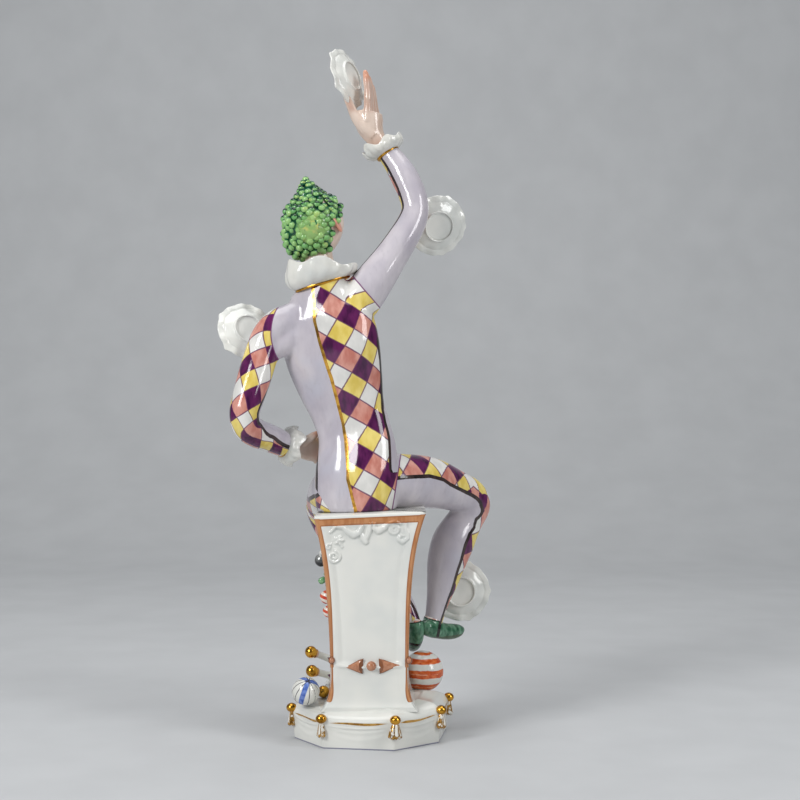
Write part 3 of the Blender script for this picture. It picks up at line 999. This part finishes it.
# How far each finger reaches, and how far across it stands at the knuckle, the middle joint and the tip
RIGHT_FINGERS = [(28.5, -2.6, -2.4, -3.6), (32.0, -0.9, -1.7, -4.0), (29.5, 1.2, -0.2, -2.4), (24.5, 3.0, 1.3, -0.4)]
LEFT_PALM = [(-54, 8, 188, 5.6, 4.9), (-48, 11, 187, 6.6, 4.8), (-42, 13.5, 185.8, 8.0, 4.6), (-35, 16, 185, 8.4, 4.2), (-31, 17.5, 184.6, 7.4, 3.6)]
LEFT_THUMB = [(-46, 10, 189, 3.3), (-42, 9, 191.5, 3.0), (-38.5, 9, 194, 2.6), (-35, 10, 196.5, 1.5)]


def flesh_enamel(name):
    """Flesh: thin pinkish wash over white, with warmer finger tips where the mesh is marked."""
    flesh = Enamel(name)
    warm, crease, _ = flesh.parts(flesh.marks("flush"))
    pale = flesh.brushed(fired(226, 207, 193), fired(212, 188, 172), 9, (1, 1, 0.5))
    colour = flesh.lay(pale, fired(222, 148, 112), flesh.sum("MULTIPLY", warm, 0.75))
    colour = flesh.lay(colour, fired(178, 128, 108), flesh.sum("MULTIPLY", crease, 0.55))
    return flesh.finish(colour, 0.1, ripple=0.25, ripple_size=9)


def make_hands():
    skin = flesh_enamel("hand_flesh")
    limbs = [(50, 44, modelled_limb(RIGHT_PALM, (0, 1, 0), 44, 50)), (50, 32, modelled_limb(RIGHT_THUMB, (0, 1, 0), 32, 50))]
    tips = [np.array(RIGHT_THUMB[-1][:3])]
    for number, (reach, knuckle, joint, tip) in enumerate(RIGHT_FINGERS):
        y = 14.8 + 4.0 * number
        finger = [(knuckle, y, 402, 3.0), (knuckle, y, 406.5, 2.95), (0.5 * (knuckle + joint), y, 405 + 0.28 * reach, 2.6), (joint, y - 0.1, 405 + 0.45 * reach, 2.75),
                  (joint - 0.2, y, 405 + 0.63 * reach, 2.4), (0.4 * joint + 0.6 * tip, y, 405 + 0.8 * reach, 2.35), (tip, y, 405 + 0.93 * reach, 1.9),
                  (tip - 0.5, y, 405 + reach, 0.9)]
        tips.append(np.array(finger[-1][:3]))
        limbs.append((48, 28, modelled_limb(finger, (0, 1, 0), 28, 48)))
    points, faces = joined_clay("right_hand_clay", limbs, 0.55, 8)
    hand = cast_piece("right_hand", points, faces, skin)
    near_tip = np.min([np.linalg.norm(points - tip, axis=1) for tip in tips], 0)
    between = 0.5 + 0.5 * np.cos((points[:, 1] - 14.8) / 4.0 * 2 * math.pi)
    mark(hand, "flush", smooth(near_tip, 8.0, 2.0) + 0.3 * smooth(points[:, 2], 396, 384), (1 - between) ** 3 * smooth(points[:, 2], 406, 411))

    limbs = [(44, 40, modelled_limb(LEFT_PALM, (-0.5, 1, 0), 40, 44)), (44, 28, modelled_limb(LEFT_THUMB, (0, 1, 0), 28, 44))]
    tips = [np.array(LEFT_THUMB[-1][:3])]
    for number in range(4):
        z = 191.3 - 4.3 * number
        finger = [(-38, 15.5, z, 2.8), (-33, 17.4, z - 0.4, 2.7), (-28, 19, z - 1, 2.5), (-23, 20.2, z - 1.8, 2.4), (-18, 20.7, z - 2.9, 2.1), (-14, 20.4, z - 4, 1.0)]
        tips.append(np.array(finger[-1][:3]))
        limbs.append((40, 28, modelled_limb(finger, (0, 1, 0.2), 28, 40)))
    points, faces = joined_clay("left_hand_clay", limbs, 0.6, 7)
    hand = cast_piece("left_hand", points, faces, skin)
    near_tip = np.min([np.linalg.norm(points - tip, axis=1) for tip in tips], 0)
    between = 0.5 + 0.5 * np.cos((points[:, 2] - 191.3) / 4.3 * 2 * math.pi)
    mark(hand, "flush", smooth(near_tip, 7.0, 1.5), (1 - between) ** 3 * smooth(points[:, 0], -36, -32))


make_hands()

# Head: an oval head on a slim neck, looking up to the right at the raised plate. The face is painted
# in fine lines: calm eyes under thin brows, a small closed mouth and a little colour in the cheeks.
HEAD_CENTRE = (-36.4, 0.0, 331.5)
HEAD_TURN = 30
HEAD_LIFT = 22
SKULL = (18.3, 20.5, 21.5)
NECK = [(-30.5, -3.2, 286, 12.5, 11), (-31.5, -3, 297, 10.6, 10), (-33.4, -1.6, 307, 9.4, 9.3), (-35, -0.5, 316, 9.6, 9.6), (-36, 0.5, 324, 10.5, 10.5)]
HEAD_POSE = Matrix.Rotation(math.radians(-HEAD_TURN), 3, "Z") @ Matrix.Rotation(math.radians(HEAD_LIFT), 3, "X")


def on_head(local):
    """Takes points in the head's own frame, right, forward and up, to where they are on the figure."""
    return np.asarray(local, float) @ np.array(HEAD_POSE).T + np.array(HEAD_CENTRE)


def spot(x, z, at_x, at_z, wide, high):
    return np.exp(-((x - at_x) / wide) ** 2 - ((z - at_z) / high) ** 2)


def make_head():
    around, rings = 160, 120
    _, unit = blob((0, 0, 0), (1, 1, 1), around, rings)
    x, y, z = unit.T
    pair = np.abs(x)
    jaw = 1 - 0.22 * np.maximum(0, -z) ** 1.5
    front = smooth(y, 0.0, 0.3)
    bridge = 1.5 * spot(x, z, 0, 0.0, 0.09, 0.17) + 2.7 * spot(x, z, 0, -0.17, 0.115, 0.13) + 0.5 * spot(pair, z, 0.12, -0.2, 0.06, 0.05)
    under_nose = -0.9 * spot(x, z, 0, -0.29, 0.16, 0.04)
    lips = 0.95 * spot(x, z, 0, -0.4, 0.2, 0.035) + 1.0 * spot(x, z, 0, -0.5, 0.17, 0.04) - 0.75 * spot(x, z, 0, -0.45, 0.23, 0.014)
    chin = 1.6 * spot(x, z, 0, -0.78, 0.26, 0.13) - 0.6 * spot(x, z, 0, -0.6, 0.22, 0.05)
    sockets = -1.7 * spot(pair, z, 0.37, 0.06, 0.2, 0.1)
    lids = 1.25 * spot(pair, z, 0.37, 0.055, 0.13, 0.055) + 0.35 * spot(pair, z, 0.37, 0.085, 0.15, 0.02)
    brow = 0.8 * spot(pair, z, 0.34, 0.2, 0.26, 0.055) + 0.5 * spot(x, z, 0, 0.42, 0.6, 0.2)
    cheek = 0.7 * spot(pair, z, 0.5, -0.2, 0.2, 0.18)
    features = (bridge + under_nose + lips + chin + sockets + lids + brow + cheek) * front
    local = np.stack([x * SKULL[0] * jaw, y * SKULL[1] * jaw + features, z * SKULL[2]], 1)
    points = on_head(local)
    faces = rings_to_faces(rings, around)
    neck = modelled_limb(NECK, (0.2, 1, 0), 64, 50, lambda along, turn: 0.03 * hump(np.abs(turn), 2.4, 0.3) * smooth(along, 4, 12))
    faces += rings_to_faces(50, 64, len(points))
    points = np.vstack([points, neck])
    for hand in (-1, 1):
        ear, ear_unit = blob((0, 0, 0), (2.0, 4.3, 6.4), 48, 40)
        bowl = 1.0 * np.exp(-((ear_unit[:, 1] / 0.5) ** 2 + ((ear_unit[:, 2] - 0.1) / 0.6) ** 2)) * (hand * ear_unit[:, 0] > 0)
        ear[:, 0] -= hand * bowl
        ear[:, 0] -= hand * (0.4 * ear[:, 1] + 0.16 * ear[:, 2])
        ear[:, 1] -= 0.25 * ear[:, 2]
        faces += rings_to_faces(40, 48, len(points))
        points = np.vstack([points, on_head(ear + np.array([hand * 18.4, -2.2, 1.6]))])
    enamel = Enamel("face_flesh")
    blush, lip, line = enamel.parts(enamel.marks("face"))
    white, iris, ear_flush = enamel.parts(enamel.marks("eyes"))
    pale = enamel.brushed(fired(230, 212, 198), fired(216, 193, 177), 10, (1, 1, 0.6))
    colour = enamel.lay(pale, fired(226, 150, 126), enamel.sum("MULTIPLY", blush, 0.6))
    colour = enamel.lay(colour, fired(228, 138, 108), enamel.sum("MULTIPLY", ear_flush, 0.7))
    colour = enamel.lay(colour, fired(238, 236, 232), enamel.edge(white, -0.06, 0.06))
    colour = enamel.lay(colour, fired(92, 74, 58), enamel.edge(iris, -0.05, 0.05))
    colour = enamel.lay(colour, fired(196, 84, 74), enamel.edge(lip, 0.35, 0.5))
    colour = enamel.lay(colour, fired(84, 54, 38), enamel.edge(line, 0.35, 0.55))
    head = cast_piece("head", points, faces, enamel.finish(colour, 0.1, ripple=0.2, ripple_size=12))
    total = len(points)

    def whole(values, rest=0.0):
        return np.concatenate([values, np.full(total - len(values), rest)])

    eye = 1 - ((pair - 0.37) / 0.13) ** 2 - ((z - 0.045) / (0.045 + 0.012 * np.cos(8 * (pair - 0.37)))) ** 2
    eye = np.where(y > 0.2, eye, -5)
    iris_mark = np.where(y > 0.2, 1 - ((pair - 0.37) / 0.047) ** 2 - ((z - 0.052) / 0.043) ** 2, -5)
    upper_lid = np.exp(-(((z - 0.088 + 1.6 * (pair - 0.36) ** 2) / 0.012) ** 2)) * smooth(0.16 - np.abs(pair - 0.37), 0, 0.03)
    eyebrow = np.exp(-(((z - 0.225 + 1.3 * (pair - 0.36) ** 2) / 0.014) ** 2)) * smooth(0.2 - np.abs(pair - 0.36), 0, 0.05)
    lip_mark = smooth(0.2 - np.abs(x), 0.0, 0.09) * np.exp(-((z + 0.448) / 0.06) ** 4) * (y > 0)
    blush_mark = spot(pair, z, 0.56, -0.22, 0.2, 0.16) * (y > 0)
    mark(head, "face", whole(blush_mark), whole(lip_mark), whole(np.maximum(upper_lid, eyebrow * 0.9) * (y > 0.2)))
    ear_mark = np.zeros(total)
    ear_mark[-2 * 48 * 40:] = 1.0
    mark(head, "eyes", whole(eye, -5), whole(iris_mark, -5), ear_mark)


make_head()

# Hair: a cap of several hundred small porcelain beads, rolled by hand and stuck on wet, glazed in
# copper green that runs darker between them. They stand up in a tuft at the crown, and at the middle
# of the back the glaze has run and half drowned them.
BEAD_COUNT = 310
# The rings of beads in the tuft: height above the middle of the head, distance out, number of beads
TUFT = [(18.5, 10.6, 14), (21.3, 8.1, 11), (24.2, 5.9, 8), (27.0, 3.7, 5), (29.4, 1.7, 3), (31.8, 0.2, 1)]


def inside_hair(unit):
    """How far inside the edge of the hair a spot on the head lies: behind the ears and the brow, above the nape."""
    x, y, z = unit.T
    brow = -0.36 + 0.86 * smooth(z, 0.04, 0.34) + 0.14 * smooth(z, 0.5, 0.95)
    return np.minimum(brow - y, z + 0.86 + 0.1 * y)


def glaze_pool(unit):
    """Where the glaze ran together, at the middle of the back."""
    x, y, z = unit.T
    return spot(x, z, 0.42, 0.1, 0.36, 0.36) * (y < -0.3)


def hair_ground(unit, thick):
    """The skin of the hair: the skull, thickened, with its crown drawn in and its nape let out at the left."""
    x, y, z = unit.T
    nape = 1 - 0.1 * np.maximum(0, -z) ** 1.5
    thick = thick + 2.2 * spot(x, z, -0.6, -0.5, 0.45, 0.4) * (y < 0.2)
    crown = 2.0 * smooth(z, 0.45, 0.95)
    return np.stack([x * (SKULL[0] * nape + thick), y * (SKULL[1] * nape + thick), z * (SKULL[2] + thick) - crown], 1)


def make_hair():
    chance = np.random.default_rng(7)
    golden = math.pi * (3 - math.sqrt(5))
    number = np.arange(BEAD_COUNT)
    height = 1 - 2 * (number + 0.5) / BEAD_COUNT
    ring = np.sqrt(1 - height ** 2)
    seats = np.stack([ring * np.cos(golden * number), ring * np.sin(golden * number), height], 1) + chance.normal(0, 0.028, (BEAD_COUNT, 3))
    seats /= np.linalg.norm(seats, axis=1)[:, None]
    seats = seats[(inside_hair(seats) > 0) & (seats[:, 2] < 0.93)]
    flooded = glaze_pool(seats)
    lift = chance.uniform(0.2, 1.7, len(seats)) + 0.9 * (np.arange(len(seats)) % 4 == 0)
    lift = lift * (1 - flooded) - 0.3 * flooded
    middles = hair_ground(seats, lift)
    size = chance.uniform(2.15, 2.6, len(seats))
    for height, out, count in TUFT:
        turn = 2 * math.pi * (np.arange(count) / count) + height
        tuft = np.stack([out * np.cos(turn), out * np.sin(turn), np.full(count, height)], 1)
        middles = np.vstack([middles, tuft + chance.normal(0, 0.3, tuft.shape)])
        size = np.concatenate([size, chance.uniform(2.0, 2.4, count)])
        flooded = np.concatenate([flooded, np.zeros(count)])
    bead, unit = blob((0, 0, 0), (1, 1, 1), 22, 14)
    bead_faces = rings_to_faces(14, 22)
    up = np.array(HEAD_POSE).T @ np.array([0, 0, 1])
    points, faces, tone, rim, top = [], [], [], [], []
    for middle, radius in zip(middles, size):
        out = middle / np.linalg.norm(middle)
        faces += [tuple(corner + len(bead) * len(tone) for corner in face) for face in bead_faces]
        points.append(middle + bead * radius)
        tone.append(chance.uniform(0, 1))
        rim.append(unit @ out)
        top.append(unit @ up)
    enamel = Enamel("hair_copper_green")
    shade, out, high = enamel.parts(enamel.marks("bead"))
    pooled, _, _ = enamel.parts(enamel.marks("pool"))
    light = enamel.lay(fired(158, 204, 128), fired(110, 176, 104), shade)
    light = enamel.lay(light, fired(196, 204, 104), enamel.sum("MULTIPLY", enamel.edge(enamel.cloud(8, 2.0), 0.55, 0.72), 0.5))
    deep = enamel.lay(fired(24, 96, 66), fired(8, 50, 38), enamel.edge(shade, 0.3, 0.9))
    mottle = enamel.sum("MULTIPLY_ADD", enamel.cloud(2.0, 2.0), 0.9, -0.45)
    colour = enamel.lay(light, deep, enamel.edge(enamel.sum("ADD", out, mottle), 0.42, 0.05))
    cap = enamel.sum("ADD", enamel.sum("ADD", high, mottle), enamel.sum("MULTIPLY", shade, 0.5))
    colour = enamel.lay(colour, deep, enamel.sum("MULTIPLY", enamel.edge(cap, 0.5, 0.85), enamel.sum("SUBTRACT", 1.0, pooled)))
    colour = enamel.lay(colour, fired(164, 190, 110), enamel.sum("MULTIPLY", pooled, 0.55))
    hair = cast_piece("hair_beads", on_head(np.concatenate(points)), faces, enamel.finish(colour, 0.035, ripple=0.25, ripple_size=3))
    mark(hair, "bead", np.repeat(tone, len(bead)), np.concatenate(rim), np.concatenate(top))
    mark(hair, "pool", np.repeat(flooded, len(bead)))

    around, rings = 180, 130
    _, unit = blob((0, 0, 0), (1, 1, 1), around, rings)
    x, y, z = unit.T
    edge_in = inside_hair(unit)
    pool = glaze_pool(unit)
    lumps = 0.4 * np.sin(17 * x + 4 * z) * np.sin(15 * z + 5 * y)
    thick = np.where(edge_in > 0, 0.2 + 1.0 * smooth(edge_in, 0, 0.12), -2.5) + (lumps + 1.2 * pool) * (edge_in > 0.05)
    cover = hair_ground(unit, thick)
    cover[:, 2] += 7.5 * smooth(z, 0.86, 1.0)
    ground = Enamel("hair_run_glaze")
    pooled = ground.parts(ground.marks("pool"))[0]
    colour = ground.brushed(fired(70, 134, 84), fired(12, 66, 48), 4, (1, 1, 1), low=0.3, high=0.65)
    run = ground.lay(fired(146, 184, 108), fired(196, 200, 118), ground.edge(ground.cloud(6, 2.0), 0.45, 0.62))
    streak = ground.edge(ground.cloud(2.6, 2.0, (1, 1, 0.35), (10, 15, 0)), 0.6, 0.68)
    run = ground.lay(run, fired(36, 108, 78), streak)
    run = ground.lay(run, fired(222, 226, 208), ground.edge(ground.cloud(5.5, 1.0, (1, 1, 1), (40, 0, 20)), 0.66, 0.7))
    colour = ground.lay(colour, run, ground.sum("MULTIPLY", ground.edge(pooled, 0.12, 0.4), 0.95))
    cap = cast_piece("hair_ground", on_head(cover), rings_to_faces(rings, around), ground.finish(colour, 0.05, ripple=0.8, ripple_size=4))
    mark(cap, "pool", pool)


make_hair()

# Ruffs: a wide pleated collar round the neck and smaller pleated cuffs at the wrists, cut from thin
# rolled porcelain, folded by hand and left white. A gilt line runs where each is sewn to the suit.
RUFFS = {
    # middle, the way it opens, radius at the seam, radius at the edge, rise, folds, wave, where the first fold lies,
    # and how the seam and the edge slope across and away
    "neck_ruff": ((-31.3, -3.0, 294.0), (0, 0, 1), (16.9, 13.6), (22.0, 20.8), 10.8, 5, 1.8, 0.0, (0.29, 0.0), (-0.05, -0.17)),
    "right_cuff": ((10.6, 19.0, 381.6), (-0.52, 0.1, 0.85), (7.3, 7.3), (13.8, 13.6), 7.4, 6, 1.7, 1.6, (0, 0), (0.1, 0)),
    "left_cuff": ((-57.4, 5.6, 188.8), (0.8, 0.5, -0.2), (7.6, 7.6), (12.8, 12.8), 7.0, 6, 1.6, 2.4, (0, 0), (0, 0)),
}


def make_ruffs():
    glaze = white_ware("ruff_glaze", fired(230, 228, 220), 0.1)
    gold = gilt_ware("collar_gilding")
    for name, (middle, axis, seam, edge, rise, folds, wave, start, seam_slope, edge_slope) in RUFFS.items():
        axis, side, depth = upright(axis, (0, 1, 0))
        if name == "neck_ruff":
            side, depth = np.array([1.0, 0, 0]), np.array([0, 1.0, 0])
        around, rings = 288, 30
        turn = np.linspace(0, 2 * math.pi, around, endpoint=False)
        fold = np.cos(folds * (turn + math.pi / 2) + start)
        if name != "neck_ruff":
            fold = fold + 0.45 * np.cos((folds - 2) * (turn + math.pi / 2) + 1.7 + start)
        pleat = np.sin(3 * folds * (turn + math.pi / 2) + start) + 0.6 * np.sin(2 * folds * turn + 1.0)

        def ring(across, away, up):
            return np.asarray(middle) + across[:, None] * side + away[:, None] * depth + up[:, None] * axis

        skin = []
        for face in (1, -1):
            for t in np.linspace(0, 1, rings)[::face]:
                out, lift = 1 - (1 - t) ** 3.2, t ** 1.15
                bulge = 1 + 0.022 * pleat * math.sin(math.pi * min(t, 0.9)) + 0.03 * fold * t ** 2
                if name == "neck_ruff":
                    bulge = bulge + 0.1 * smooth(-np.cos(turn), 0.3, 1.0) * math.sin(math.pi * t ** 0.7)
                across = np.cos(turn) * ((seam[0] + (edge[0] - seam[0]) * out) * bulge - face * 0.45)
                away = np.sin(turn) * ((seam[1] + (edge[1] - seam[1]) * out) * bulge - face * 0.45)
                up = (1 - t) * (across * seam_slope[0] + away * seam_slope[1]) + t * (across * edge_slope[0] + away * edge_slope[1])
                up = up + rise * lift + wave * fold * t ** 1.6 + face * 0.3 * (1 - t)
                skin.append(ring(across, away, up))
        faces = []
        for r in range(len(skin)):
            n = (r + 1) % len(skin)
            faces += [(r * around + c, r * around + (c + 1) % around, n * around + (c + 1) % around, n * around + c) for c in range(around)]
        cast_piece(name, np.concatenate(skin), faces, glaze)
        cord = []
        for angle in np.linspace(0, 2 * math.pi, 14, endpoint=False):
            out = 0.15 + 0.8 * math.sin(angle)
            across, away = np.cos(turn) * (seam[0] + out), np.sin(turn) * (seam[1] + out)
            cord.append(ring(across, away, across * seam_slope[0] + away * seam_slope[1] + 1.1 * math.cos(angle) - 0.5))
        faces = []
        for r in range(14):
            n = (r + 1) % 14
            faces += [(r * around + c, r * around + (c + 1) % around, n * around + (c + 1) % around, n * around + c) for c in range(around)]
        cast_piece(name.split("_")[0] + "_gilt_band", np.concatenate(cord), faces, gold)


make_ruffs()

# Plates: four small moulded plates with a foot ring and a bracketed rim, glazed white. One is held up
# in the right hand, and the others are balanced against the right elbow, the left shoulder and the shin.
PLATE_RADIUS = 20.2
PLATES = {
    # middle of the foot ring, the way the hollow faces, and where its first bracket points
    "raised_plate": ((-12.4, 20, 433.6), (-0.85, 0.44, -0.28), (0, 1, 0)),
    "elbow_plate": ((45.2, 21.2, 332.9), (-0.33, 0.9, 0.28), (0, 0, 1)),
    "shoulder_plate": ((-79.3, -0.5, 264.6), (-0.42, 0.8, -0.42), (0, 0, 1)),
    "shin_plate": ((60.2, 46, 86.8), (-0.04, 1, -0.02), (0, 0, 1)),
}
PLATE_PROFILE = [
    (0.05, 0.85), (8.6, 0.8), (9.0, 0.45), (9.2, -0.25), (9.7, -0.45), (10.2, -0.3), (10.4, 0.35), (10.9, 0.95), (13.4, 1.9), (15.4, 2.9), (16.2, 3.4),
    (17.4, 3.35), (19.4, 3.85), (20.1, 4.15), (20.3, 4.55), (20.0, 4.95), (19.4, 4.95), (17.2, 4.5), (16.0, 4.2), (15.0, 3.6), (12.8, 2.7), (10.2, 2.1),
    (7.0, 2.0), (0.05, 2.0),
]


def make_plates():
    glaze = white_ware("plate_glaze", fired(234, 234, 228), 0.08)
    for name, (middle, faces_way, bracket) in PLATES.items():
        profile = rounded(PLATE_PROFILE, 3)
        around = 240
        axis, side, depth = upright(faces_way, bracket)
        turn = np.linspace(0, 2 * math.pi, around, endpoint=False)
        angle = np.arctan2(np.sin(turn), np.cos(turn))
        rim = smooth(profile[:, 0], 0.55 * PLATE_RADIUS, PLATE_RADIUS)[:, None]
        lobe = np.abs(np.cos(2.5 * angle))[None]
        bracket_edge = 1.3 * lobe ** 22 - 0.22 * np.cos(10 * angle)[None] * (1 - lobe ** 6) + 0.3 * (1 - lobe ** 2) - 0.25
        reach = profile[:, :1] * (1 + rim ** 1.3 / PLATE_RADIUS * bracket_edge)
        rise = profile[:, 1:] + rim * (0.5 * np.cos(10 * angle)[None] + 0.3 * lobe ** 8)
        ring = np.cos(turn)[:, None] * side + np.sin(turn)[:, None] * depth
        points = np.asarray(middle) + reach[..., None] * ring[None] + rise[..., None] * axis
        cast_piece(name + "_glazed", points.reshape(-1, 3), rings_to_faces(len(profile), around), glaze, name)


make_plates()

# Studio: a plain pale floor that runs up into a backdrop, two soft boxes and a soft top light, and the
# camera at the height of the figure's waist, straight behind its back.
def make_studio():
    sweep = [(-1.6, 0.0), (0.9, 0.0)]
    sweep += [(0.9 + 0.7 * math.sin(a), 0.7 - 0.7 * math.cos(a)) for a in np.linspace(0.1, math.pi / 2, 14)]
    sweep += [(1.6, 2.6)]
    points = [(x, y, z) for y, z in sweep for x in (-3.0, 3.0)]
    faces = [(2 * i, 2 * i + 1, 2 * i + 3, 2 * i + 2) for i in range(len(sweep) - 1)]
    mesh = bpy.data.meshes.new("paper_sweep")
    mesh.from_pydata(points, [], faces)
    mesh.polygons.foreach_set("use_smooth", [True] * len(mesh.polygons))
    paper = Enamel("pale_paper")
    grain = paper.edge(paper.cloud(60, 3.0), 0.2, 0.8)
    paper.feed(paper.glaze.inputs["Base Color"], paper.lay(fired(196, 198, 200), fired(190, 192, 194), grain))
    paper.glaze.inputs["Roughness"].default_value = 0.6
    mesh.materials.append(paper.material)
    sheet = bpy.data.objects.new("paper_sweep", mesh)
    bpy.context.collection.objects.link(sheet)

    def soft_box(name, place, aim, width, height, power):
        lamp = bpy.data.lights.new(name, "AREA")
        lamp.shape = "RECTANGLE"
        lamp.size, lamp.size_y, lamp.energy = width, height, power
        box = bpy.data.objects.new(name, lamp)
        box.location = place
        box.rotation_mode = "QUATERNION"
        box.rotation_quaternion = (Vector(aim) - Vector(place)).to_track_quat("-Z", "Y")
        bpy.context.collection.objects.link(box)

    soft_box("soft_box_left", (-1.1, -1.1, 0.95), (-0.03, 0, 0.25), 0.5, 0.7, 19)
    soft_box("soft_box_right", (1.25, -0.8, 0.85), (0.0, 0, 0.25), 0.45, 0.8, 10)
    soft_box("top_light", (0.0, 0.1, 1.7), (0.0, 0.05, 0.2), 1.3, 1.3, 14)
    world = bpy.data.worlds.new("studio_air")
    world.use_nodes = True
    world.node_tree.nodes["Background"].inputs["Color"].default_value = (0.62, 0.64, 0.66, 1)
    world.node_tree.nodes["Background"].inputs["Strength"].default_value = 0.26
    bpy.context.scene.world = world
    bpy.context.scene.view_settings.view_transform = "Standard"

    lens = bpy.data.cameras.new("camera")
    lens.lens, lens.sensor_width = 72, 36
    lens.shift_y = -0.025
    camera = bpy.data.objects.new("camera", lens)
    camera.location = (0.0189, -1.044, 0.231)
    camera.rotation_euler = (math.radians(90), 0, 0)
    bpy.context.collection.objects.link(camera)
    bpy.context.scene.camera = camera


make_studio()
